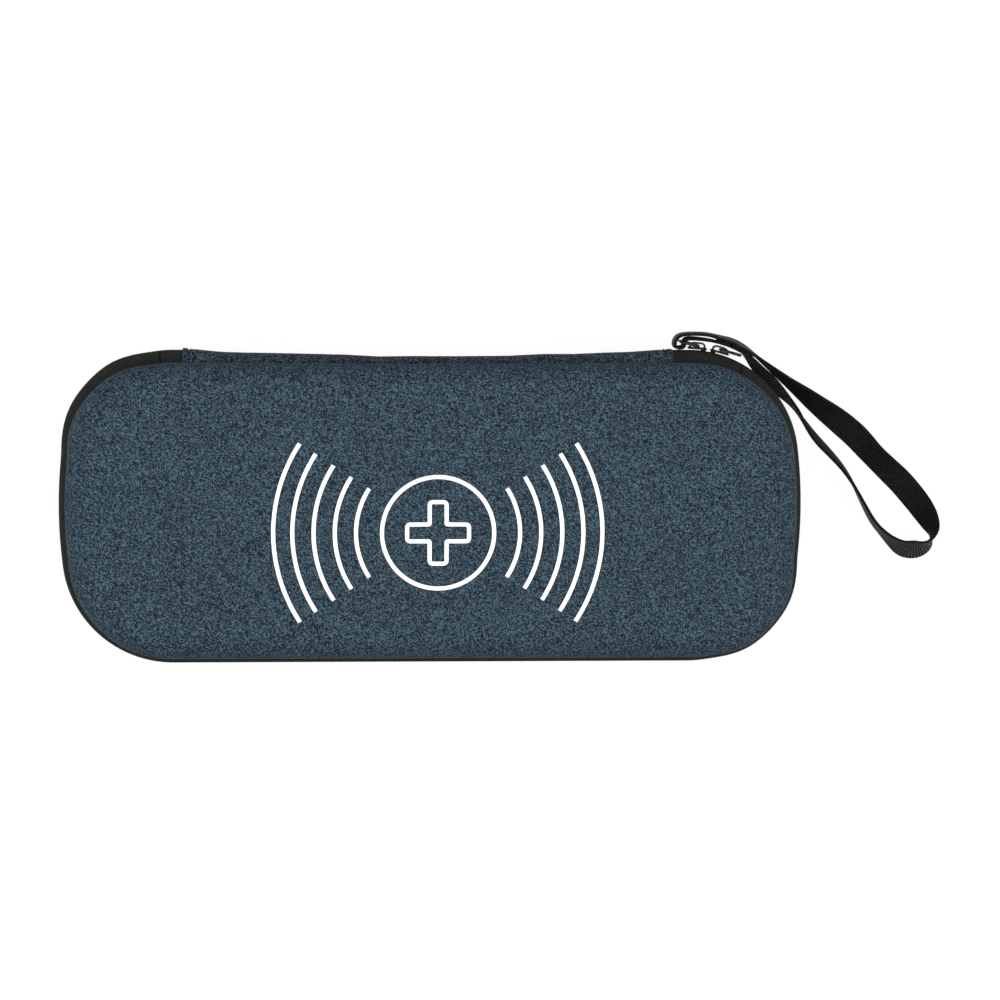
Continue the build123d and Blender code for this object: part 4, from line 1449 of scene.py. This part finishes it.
@dataclass
class ZipSlider(SubAssembly):
    """One slider on the chain, its bridge, and the puller hanging on it."""

    label: str = "a"
    angle: float = 85.7
    front: int = 1
    length: float = 7.6
    width: float = 6.5
    plate: float = 0.7
    clearance: float = 0.45
    bridge_length: float = 6.4
    bridge_rise: float = 2.05
    pin_out: float = 4.28

    @property
    def seat_frame(self) -> Seat:
        """The slider's own frame: along the zip, up, and out of the case."""
        outline, angle = self.sizes.outline, math.radians(self.angle)
        reach = outline.corner_radius
        origin = np.array([outline.corner_x + reach * math.cos(angle),
                           outline.corner_y + reach * math.sin(angle), self.sizes.zip_z])
        return Seat(origin, np.array([math.sin(angle), -math.cos(angle), 0.0]),
                    np.array([0.0, 0.0, 1.0]), np.array([math.cos(angle), math.sin(angle), 0.0]))

    def body_outline(self, trim: float) -> np.ndarray:
        """The plates' outline, broad at the two mouths and drawn in at the tail."""
        turn = np.linspace(0, 2 * math.pi, 48, endpoint=False)
        power = 3.6
        x = np.sign(np.cos(turn)) * np.abs(np.cos(turn)) ** (2 / power) * (self.length / 2 - trim)
        y = np.sign(np.sin(turn)) * np.abs(np.sin(turn)) ** (2 / power) * (self.width / 2 - trim)
        tail = np.clip(-x * self.front / (self.length / 2), 0, 1)
        return np.stack([x, y * (1 - 0.14 * tail ** 2)], 1)

    def plate_rings(self, levels: list[tuple[float, float]]) -> tuple[np.ndarray, list]:
        """A plate from rings of (how far trimmed, how far out)."""
        rings = []
        for trim, out in levels:
            flat = self.body_outline(trim)
            rings.append(np.concatenate([flat, np.full((len(flat), 1), out)], 1))
        count = len(rings[0])
        faces = [tuple(f) for f in grid_faces(len(rings), count, ring=True)]
        faces.append(tuple(range(count))[::-1])
        faces.append(tuple((len(rings) - 1) * count + i for i in range(count)))
        return np.concatenate(rings), faces

    def body_piece(self) -> bpy.types.Object:
        """The two plates, their side walls and the divider between the two mouths."""
        home, stock = self.seat_frame, MeshStock()
        low = self.sizes.tape_front + self.clearance
        high = low + self.plate
        points, faces = self.plate_rings([(0.25, low), (0.0, low + 0.15), (0.0, high - 0.3),
                                          (0.12, high - 0.08), (0.4, high + 0.04),
                                          (1.3, high + 0.12), (2.4, high + 0.14)])
        stock.add(home.carry(points), faces)
        base = self.sizes.coil_stand - self.clearance
        points, faces = self.plate_rings([(0.3, base - self.plate), (0.0, base - self.plate + 0.2),
                                          (0.0, base - 0.15), (0.15, base)])
        stock.add(home.carry(points), faces)
        section = rounded_section(0.65, 1.5, 0.25, 2)
        for side in (-1, 1):
            middle = side * (self.width / 2 - 0.38)
            ends = np.array([[-1.9, middle, base + 0.62], [1.9, middle, base + 0.62]])
            points, faces = swept(ends, np.array([0.0, 1.0, 0.0]), np.array([0.0, 0.0, 1.0]),
                                  section)
            stock.add(home.carry(points), faces)
        place = self.front * (self.length / 2 - 1.35)
        ends = np.array([[place, 0, base - 0.1], [place, 0, low + 0.1]])
        points, faces = swept(ends, np.array([1.0, 0.0, 0.0]), np.array([0.0, 1.0, 0.0]),
                              rounded_section(2.0, 0.5, 0.24, 3))
        stock.add(home.carry(points), faces)
        return stock.make(f"slider_{self.label}_casting", [self.finishes.lacquer])

    def bridge_piece(self) -> bpy.types.Object:
        """The arched bridge that holds the puller's pin."""
        home, stock = self.seat_frame, MeshStock()
        foot = self.sizes.tape_front + self.clearance + self.plate
        half, rise = self.bridge_length / 2 - 0.37, self.bridge_rise - 0.37
        turn = np.linspace(math.pi, 0, 25)
        along = half * np.sign(np.cos(turn)) * np.abs(np.cos(turn)) ** 0.55
        out = foot + rise * np.abs(np.sin(turn)) ** 0.6
        path = np.stack([along, np.zeros(25), out], 1)
        side = np.array([0.0, 1.0, 0.0])
        lift = np.cross(headings(path), side)
        points, faces = swept(path, side, lift, rounded_section(2.2, 0.74, 0.26, 3))
        stock.add(home.carry(points), faces)
        return stock.make(f"slider_{self.label}_arch", [self.finishes.lacquer])

    def puller_frame(self, direction: float, lift: float) -> Seat:
        """The puller's frame: away from its pin, up along the pin, and out of its face."""
        home, tilt = self.seat_frame, math.radians(lift)
        along = home.along * direction * math.cos(tilt) + home.out * math.sin(tilt)
        return Seat(home.origin + home.out * self.pin_out, along, home.up,
                    np.cross(along, home.up))

    def wire_loop(self, reach: float, half: float, corner: float, wire: float,
                  frame: Seat) -> tuple[np.ndarray, list]:
        """A closed wire frame from the pin out to the far bar."""
        outline = rounded_section(reach, 2 * half, corner, 6)
        path = np.stack([outline[:, 0] + reach / 2, outline[:, 1], np.zeros(len(outline))], 1)
        closed = np.concatenate([path, path[:1]])
        gone, stations = spaced_along(closed, 0.35)
        path = taken_at(stations[:-1], gone, closed)
        out = np.array([0.0, 0.0, 1.0])
        side = np.cross(headings(path, loop=True), out)
        turn = np.linspace(0, 2 * math.pi, 12, endpoint=False)
        section = np.stack([np.cos(turn), np.sin(turn)], 1) * wire / 2
        points, faces = swept(path, side, out, section, loop=True)
        return frame.carry(points), faces


@dataclass
class StrapSlider(ZipSlider):
    """The first slider, whose wire loop carries the wrist strap."""

    reach: float = 6.9
    half_opening: float = 5.8
    wire: float = 1.05
    lift: float = 9.0

    def build(self) -> None:
        """Makes the slider and its loop."""
        self.seat(self.body_piece(), Body.FIRST_SLIDER, "slider_metal", "slider_a_body")
        self.seat(self.bridge_piece(), Body.FIRST_SLIDER, "slider_metal", "slider_a_bridge")
        stock = MeshStock()
        stock.add(*self.wire_loop(self.reach, self.half_opening, 1.2, self.wire,
                                  self.puller_frame(-1.0, self.lift)))
        loop = stock.make("puller_a_wire_loop", [self.finishes.lacquer])
        self.seat(loop, Body.FIRST_PULLER, "puller_metal", "puller_a")


@dataclass
class TabSlider(ZipSlider):
    """The second slider, with a plain tab puller."""

    label: str = "b"
    angle: float = 74.09
    front: int = -1
    tab_length: float = 8.5
    tab_width: float = 4.6

    def tab_piece(self) -> bpy.types.Object:
        """The tab: two arms to the pin and a waisted grip with a pressed rim."""
        frame, stock = self.puller_frame(1.0, 0.0), MeshStock()
        half = self.tab_width / 2 - 0.5
        stock.add(*self.wire_loop(4.6, half, 0.9, 1.0, frame))
        start, end = 3.9, self.tab_length
        turn = np.linspace(0, 2 * math.pi, 40, endpoint=False)
        rings = []
        levels = [(0.35, -0.55), (0.0, -0.35), (0.0, 0.35), (0.35, 0.55), (0.8, 0.55), (1.0, 0.4)]
        for trim, out in levels:
            x = np.sign(np.cos(turn)) * np.abs(np.cos(turn)) ** 0.5 * ((end - start) / 2 - trim)
            y = np.sign(np.sin(turn)) * np.abs(np.sin(turn)) ** 0.6 * (self.tab_width / 2 - trim)
            waist = 1 - 0.12 * np.clip(-x / ((end - start) / 2), 0, 1)
            rings.append(np.stack([x + (start + end) / 2, y * waist, np.full(40, out)], 1))
        faces = [tuple(f) for f in grid_faces(len(rings), 40, ring=True)]
        faces.append(tuple(range(40))[::-1])
        faces.append(tuple((len(rings) - 1) * 40 + i for i in range(40)))
        stock.add(frame.carry(np.concatenate(rings)), faces)
        return stock.make("puller_b_tab", [self.finishes.lacquer])

    def build(self) -> None:
        """Makes the slider and its tab."""
        self.seat(self.body_piece(), Body.SECOND_SLIDER, "slider_metal", "slider_b_body")
        self.seat(self.bridge_piece(), Body.SECOND_SLIDER, "slider_metal", "slider_b_bridge")
        self.seat(self.tab_piece(), Body.SECOND_PULLER, "puller_metal", "puller_b")


# ---- raised print ------------------------------------------------------------------


@dataclass
class RaisedPrint(SubAssembly):
    """White raised lines on the lid: a plus in a ring, with ripples to both sides."""

    lid: MouldedTray | None = None
    middle: tuple[float, float] = (1.7, -7.5)
    line: float = 1.6
    rise: float = 0.42
    ring_radius: float = 22.0
    plus_arm: float = 12.5
    plus_half: float = 4.0
    ripple_radii: tuple[float, ...] = (31.0, 39.0, 47.0, 55.0, 62.2)
    ripple_spread: float = 33.0

    def on_face(self, flat: np.ndarray) -> np.ndarray:
        """Flat points, set on the lid's crowned face."""
        outline = self.sizes.outline
        centre = self.lid.arc_centre(0.0)[1]
        deep = outline.depth_inside(flat[:, 0], flat[:, 1])
        level = self.lid.rim_z + self.lid.depth + self.lid.face_rise(deep, centre)
        return np.stack([flat[:, 0], flat[:, 1], level], 1)

    def add_line(self, stock: MeshStock, flat: np.ndarray, loop: bool) -> None:
        """One printed line along flat points about the print's middle."""
        half = self.line / 2
        section = np.array([(-half, -0.15), (half, -0.15), (half, 0.22), (half - 0.18, 0.38),
                            (half * 0.4, self.rise), (-half * 0.4, self.rise),
                            (-half + 0.18, 0.38), (-half, 0.22)])
        path = self.on_face(flat + np.array(self.middle))
        up = np.array([0.0, 0.0, 1.0])
        side = unit(np.cross(headings(path, loop), up))
        stock.add(*swept(path, side, up, section, loop))

    def arc(self, radius: float, start: float, spread: float) -> np.ndarray:
        """Flat points along an arc, its angles in degrees."""
        count = max(12, int(radius * math.radians(abs(spread)) / 0.8))
        angles = np.radians(np.linspace(start, start + spread, count))
        return np.stack([np.cos(angles), np.sin(angles)], 1) * radius

    def plus_outline(self) -> np.ndarray:
        """The middle of the plus's line, with eased corners."""
        arm, half = self.plus_arm - self.line / 2, self.plus_half - self.line / 2
        corners = [(half, half), (half, arm), (-half, arm), (-half, half), (-arm, half),
                   (-arm, -half), (-half, -half), (-half, -arm), (half, -arm), (half, -half),
                   (arm, -half), (arm, half)]
        points = []
        for i, corner in enumerate(corners):
            here = np.array(corner)
            before, after = np.array(corners[i - 1]), np.array(corners[(i + 1) % len(corners)])
            ease = 1.3 if i % 3 else 0.5
            into = here + (before - here) / np.linalg.norm(before - here) * ease
            away = here + (after - here) / np.linalg.norm(after - here) * ease
            for share in np.linspace(0, 1, 6):
                points.append(into * (1 - share) ** 2 + here * 2 * share * (1 - share)
                              + away * share ** 2)
        return np.array(points)

    def build(self) -> None:
        """Makes every line of the print as one piece."""
        stock = MeshStock()
        self.add_line(stock, self.arc(self.ring_radius - self.line / 2, 0, 357.5), True)
        self.add_line(stock, self.plus_outline(), True)
        for radius in self.ripple_radii:
            for middle in (0.0, 180.0):
                self.add_line(stock, self.arc(radius, middle - self.ripple_spread,
                                              2 * self.ripple_spread), False)
        piece = stock.make("lid_raised_print", [self.finishes.print])
        self.seat(piece, Body.LID, "print_rubber", "lid_print")


# ---- inside ------------------------------------------------------------------------


@dataclass
class NetPocket(SubAssembly):
    """The net pocket inside the lid, its binding and its elastic hem."""

    level: float = 37.0
    mouth_y: float = -38.0
    edge_in: float = 8.0
    hem_width: float = 4.0
    cell: float = 4.2

    def net(self) -> bpy.types.Object:
        """Knitted net: six-sided openings between round yarns."""
        outline, side = self.sizes.outline, self.cell / math.sqrt(3)
        points: list[tuple[float, float, float]] = []
        numbers: dict[tuple[int, int], int] = {}
        faces = []
        for row in range(-14, 16):
            for column in range(-34, 35):
                x = (column + 0.5 * (row % 2)) * self.cell
                y = 6.0 + row * side * 1.5
                turn = np.radians(np.arange(6) * 60 + 30)
                rim_x, rim_y = x + side * np.cos(turn), y + side * np.sin(turn)
                deep = outline.depth_inside(rim_x, rim_y)
                if deep.min() < self.edge_in - 1.2 or rim_y.min() < self.mouth_y - 1.0:
                    continue
                face = []
                for px, py in zip(rim_x, rim_y):
                    key = (round(px * 50), round(py * 50))
                    if key not in numbers:
                        numbers[key] = len(points)
                        sag = 0.5 * math.sin(px * 0.05) * math.sin(py * 0.06)
                        drawn = self.sizes.pull(np.array(px), np.array(py), 3.0)
                        points.append((px, py - float(drawn), self.level + sag))
                    face.append(numbers[key])
                faces.append(tuple(face))
        stock = MeshStock()
        stock.add(np.array(points), faces)
        piece = stock.make("pocket_knitted_net", [self.finishes.net])
        yarn = piece.modifiers.new("yarn", "WIREFRAME")
        yarn.thickness = 0.55 * METRES
        yarn.use_even_offset = False
        smooth = piece.modifiers.new("smooth", "SUBSURF")
        smooth.levels = smooth.render_levels = 1
        return baked(piece)

    def edge_path(self, deep: float) -> np.ndarray:
        """A line along the walls from one end of the mouth round the back to the other."""
        outline = self.sizes.outline
        stations = np.linspace(-outline.around / 2, outline.around / 2, 900)
        rim, outward = outline.place(stations)
        flat = rim - outward * deep
        flat = flat[flat[:, 1] > self.mouth_y]
        pull = self.sizes.pull(flat[:, 0], flat[:, 1], 3.0)
        return np.stack([flat[:, 0], flat[:, 1] - pull, np.full(len(flat), self.level)], 1)

    def build(self) -> None:
        """Makes the net, its binding and its hem."""
        self.seat(self.net(), Body.LID, "net_fabric", "pocket_net")
        up = np.array([0.0, 0.0, 1.0])
        stock = MeshStock()
        path = self.edge_path(6.75)
        side = np.cross(headings(path), up)
        section = rounded_section(2.9, 1.2, 0.5, 3)
        points, faces = swept(path, side, up, section)
        travel = np.repeat(spaced_along(path, 1.0)[0], len(section))
        stock.add(points, faces, np.stack([travel, points[:, 2]], 1))
        stock.add(*stitch_row(self.edge_path(7.1) - up * 0.62, -up, 3.0, 2.2, 0.4), finish=1)
        binding = stock.make("pocket_edge_binding", [self.finishes.binding, self.finishes.thread])
        self.seat(binding, Body.LID, "binding_fabric", "pocket_binding")
        reach = abs(float(self.edge_path(5.3)[0, 0])) - 0.8
        stock = MeshStock()
        x = np.arange(-reach, reach, 0.45)
        gather = 0.16 * np.cos(x * 2 * math.pi / 1.8)
        path = np.stack([x, np.full(len(x), self.mouth_y - self.hem_width / 2 + 0.1),
                         self.level + 0.1 + 0 * gather], 1)
        section = rounded_section(self.hem_width, 1.5, 0.7, 3)
        points, faces = swept(path, np.array([0.0, 1.0, 0.0]), up, section)
        points = points.reshape(len(x), len(section), 3)
        points[:, :, 2] += gather[:, None] * np.sign(section[:, 1])[None, :]
        travel = np.repeat(x, len(section))
        stock.add(points, faces, np.stack([travel, np.tile(section[:, 0], len(x))], 1))
        self.seat(stock.make("pocket_elastic_hem", [self.finishes.elastic]), Body.LID,
                  "elastic", "pocket_hem")


@dataclass
class ElasticKeeper(SubAssembly):
    """The elastic band across the base and the sewn patch at each of its ends."""

    width: float = 25.0
    thick: float = 1.0
    level: float = 13.0
    patch_width: float = 30.0
    patch_height: float = 8.0

    def wall_y(self, z: np.ndarray) -> np.ndarray:
        """Where the base's lining stands on the long wall, by height."""
        rim = self.sizes.zip_z - self.sizes.half_gap
        return self.sizes.outline.half_width - self.sizes.wall - (rim - z) * math.tan(
            math.radians(4.0))

    def band(self) -> bpy.types.Object:
        """The band: ribbed elastic lying across the tray."""
        reach = float(self.wall_y(np.array(self.level))) - 0.9
        drawn = float(self.sizes.pull(np.array(0.0), np.array(50.0), 22.0 - self.level))
        y = np.linspace(-reach, reach - drawn, 330)
        x = np.linspace(-self.width / 2, self.width / 2, 26)
        waist = 1 - 0.05 * (1 - (y / reach) ** 2)
        ribs = 0.07 * np.cos(x * 2 * math.pi / 2.0)
        stock = MeshStock()
        top = np.stack(np.broadcast_arrays(x[None, :] * waist[:, None], y[:, None],
                                           (self.level + 0.42 + ribs)[None, :]), -1)
        bottom = np.stack(np.broadcast_arrays(x[None, ::-1] * waist[:, None], y[:, None],
                                              (self.level - 0.42 - ribs)[None, ::-1]), -1)
        grid = np.concatenate([top, bottom], 1)
        faces = [tuple(f) for f in grid_faces(len(y), grid.shape[1], ring=True)]
        count = grid.shape[1]
        faces.append(tuple(range(count))[::-1])
        faces.append(tuple((len(y) - 1) * count + i for i in range(count)))
        cloth = np.stack([grid[:, :, 1], grid[:, :, 0]], -1)
        stock.add(grid, faces, cloth)
        return stock.make("keeper_ribbed_band", [self.finishes.elastic])

    def patch(self, name: str, side: int) -> bpy.types.Object:
        """One patch on the long wall, with its stitched border."""
        stock = MeshStock()
        x = np.linspace(-self.patch_width / 2, self.patch_width / 2, 40)
        z = np.linspace(self.level - self.patch_height / 2, self.level + self.patch_height / 2, 12)
        edge = np.minimum(np.minimum(x + self.patch_width / 2, self.patch_width / 2 - x)[:, None],
                          np.minimum(z - z[0], z[-1] - z)[None, :])
        back = self.wall_y(z)[None, :] - (side > 0) * self.sizes.pull(
            x[:, None], np.array(50.0), (22.0 - z)[None, :])
        rise = 0.25 + 0.45 * eased(edge / 0.8)
        grid = np.stack(np.broadcast_arrays(x[:, None], side * (back - rise), z[None, :]), -1)
        stock.add(grid, grid_faces(40, 12), np.stack(
            np.broadcast_arrays(x[:, None], z[None, :]), -1))
        wide, tall = self.patch_width / 2 - 1.6, self.patch_height / 2 - 1.2
        corners = np.array([(-wide, -tall), (wide, -tall), (wide, tall), (-wide, tall),
                            (-wide, -tall)])
        gone, stations = spaced_along(corners, 0.8)
        seam = taken_at(stations, gone, corners)
        wall = self.wall_y(self.level + seam[:, 1])
        pull = (side > 0) * self.sizes.pull(seam[:, 0], np.array(50.0),
                                            22.0 - self.level - seam[:, 1])
        path = np.stack([seam[:, 0], side * (wall - pull - 0.74), self.level + seam[:, 1]], 1)
        stock.add(*stitch_row(path, np.array([0.0, -float(side), 0.0]), 2.6, 2.0, 0.4), finish=1)
        return stock.make(name, [self.finishes.binding, self.finishes.thread])

    def build(self) -> None:
        """Makes the band and both patches."""
        self.seat(self.band(), Body.BASE, "elastic", "keeper_band")
        self.seat(self.patch("keeper_front_patch", -1), Body.BASE, "binding_fabric",
                  "keeper_patch_front")
        self.seat(self.patch("keeper_back_patch", 1), Body.BASE, "binding_fabric",
                  "keeper_patch_back")


# ---- studio ------------------------------------------------------------------------


@dataclass
class Studio:
    """White floor, soft boxes and the camera over the case."""

    look_at: tuple[float, float, float] = (26.5, 2.2, 28.0)
    distance: float = 1500.0
    frame_width: float = 385.0
    tilt_back: float = 5.5
    lean_left: float = 2.9
    roll: float = 0.17
    floor_half: float = 4.0
    floor_glow: float = 1.045
    floor_share: float = 0.9
    room_light: float = 0.12

    def camera(self) -> None:
        """Sets the camera at the photograph's angle, with +Y up in the picture."""
        away = Vector((-math.tan(math.radians(self.lean_left)),
                       math.tan(math.radians(self.tilt_back)), 1.0)).normalized()
        right = Vector((0.0, 1.0, 0.0)).cross(away).normalized()
        up = away.cross(right)
        spin = Matrix.Rotation(math.radians(self.roll), 3, away)
        right, up = spin @ right, spin @ up
        data = bpy.data.cameras.new("camera")
        data.sensor_width = 36.0
        data.lens = 36.0 * self.distance / self.frame_width
        data.clip_end = 20.0
        camera = bpy.data.objects.new("camera", data)
        bpy.context.scene.collection.objects.link(camera)
        turn = Matrix((right, up, away)).transposed().to_4x4()
        spot = (Vector(self.look_at) + away * self.distance) * METRES
        camera.matrix_world = Matrix.Translation(spot) @ turn
        bpy.context.scene.camera = camera

    def lamp(self, name: str, place: tuple[float, float, float], size: float,
             power: float, aim: tuple[float, float, float] = (0.0, 0.0, 0.03)) -> None:
        """A square soft box.

        Args:
            name: its name.
            place: where it hangs, in metres.
            size: its side, in metres.
            power: in watts.
            aim: the point it faces.
        """
        data = bpy.data.lights.new(name, "AREA")
        data.size = size
        data.energy = power
        lamp = bpy.data.objects.new(name, data)
        bpy.context.scene.collection.objects.link(lamp)
        lamp.location = place
        lamp.rotation_mode = "QUATERNION"
        lamp.rotation_quaternion = (Vector(aim) - Vector(place)).to_track_quat("-Z", "Y")

    def floor(self) -> None:
        """A pale floor that reads as white and keeps a soft shadow."""
        half = self.floor_half / METRES
        stock = MeshStock()
        corners = np.array([(-half, -half, -0.05), (half, -half, -0.05), (half, half, -0.05),
                            (-half, half, -0.05)])
        stock.add(corners, [(0, 1, 2, 3)])
        bench = NodeBench("white_floor")
        grain = bench.noise(bench.place(), 40.0)
        bench.wear(base_color=bench.shade(grain, [(0.0, (0.52, 0.52, 0.52)),
                                                  (1.0, (0.56, 0.56, 0.56))]), roughness=0.9)
        rays = bench.add("ShaderNodeLightPath", {})
        seen = bench.sum("MAXIMUM", rays.outputs["Is Camera Ray"], rays.outputs["Is Glossy Ray"])
        seen = bench.sum("MAXIMUM", seen, rays.outputs["Is Transmission Ray"])
        glow = bench.add("ShaderNodeEmission", {"Color": (1.0, 1.0, 1.0, 1.0), "Strength": self.floor_glow})
        mix = bench.add("ShaderNodeMixShader", {0: bench.sum("MULTIPLY", seen, self.floor_share),
                                                1: bench.shader.outputs[0],
                                                2: glow.outputs[0]})
        output = next(n for n in bench.tree.nodes if n.type == "OUTPUT_MATERIAL")
        bench.tree.links.new(mix.outputs[0], output.inputs[0])
        stock.make("floor", [bench.material])

    def world(self) -> None:
        """An even pale room that shows as white."""
        world = bpy.data.worlds.new("room")
        bpy.context.scene.world = world
        world.use_nodes = True
        tree = world.node_tree
        tree.nodes.clear()
        rays = tree.nodes.new("ShaderNodeLightPath")
        seen = tree.nodes.new("ShaderNodeMath")
        seen.operation = "MAXIMUM"
        tree.links.new(rays.outputs["Is Camera Ray"], seen.inputs[0])
        tree.links.new(rays.outputs["Is Transmission Ray"], seen.inputs[1])
        strength = tree.nodes.new("ShaderNodeMapRange")
        strength.inputs[3].default_value = self.room_light
        strength.inputs[4].default_value = 1.0
        tree.links.new(seen.outputs[0], strength.inputs[0])
        room = tree.nodes.new("ShaderNodeBackground")
        room.inputs[0].default_value = (1.0, 1.0, 1.0, 1.0)
        tree.links.new(strength.outputs[0], room.inputs[1])
        output = tree.nodes.new("ShaderNodeOutputWorld")
        tree.links.new(room.outputs[0], output.inputs[0])

    def build(self) -> None:
        """Sets up the floor, the lamps, the room and the camera."""
        scene = bpy.context.scene
        scene.view_settings.view_transform = "Standard"
        self.camera()
        self.floor()
        self.world()
        self.lamp("top_box", (0.0, 0.08, 1.35), 0.6, 19.0)
        self.lamp("left_box", (-0.9, -0.05, 0.65), 0.5, 7.0)
        self.lamp("right_box", (0.95, -0.05, 0.65), 0.5, 7.0)


def corners(bounds: tuple[Vector, Vector]) -> list[list[float]]:
    """A box's two corners as plain lists."""
    return [list(map(float, corner)) for corner in bounds]


def main() -> None:
    """Loads the frame and builds every sub-assembly in order."""
    logging.basicConfig(level=logging.INFO, format="%(name)s: %(message)s")
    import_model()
    sizes, finishes = CaseSizes(), FinishStore()
    studio = Studio()
    studio.build()
    WristStrap(sizes, finishes).build()
    lid = MouldedTray(sizes, finishes)
    base = MouldedTray(sizes, finishes, label="base", body=Body.BASE, upward=-1, depth=22.0,
                       shoulder=9.0, crown=-0.3)
    for assembly in (lid, base, ZipChain(sizes, finishes), FabricHinge(sizes, finishes),
                     StrapSlider(sizes, finishes), TabSlider(sizes, finishes),
                     RaisedPrint(sizes, finishes, lid=lid), NetPocket(sizes, finishes),
                     ElasticKeeper(sizes, finishes)):
        assembly.build()
        log.info("%s done", type(assembly).__name__)


if __name__ == "__main__":
    main()
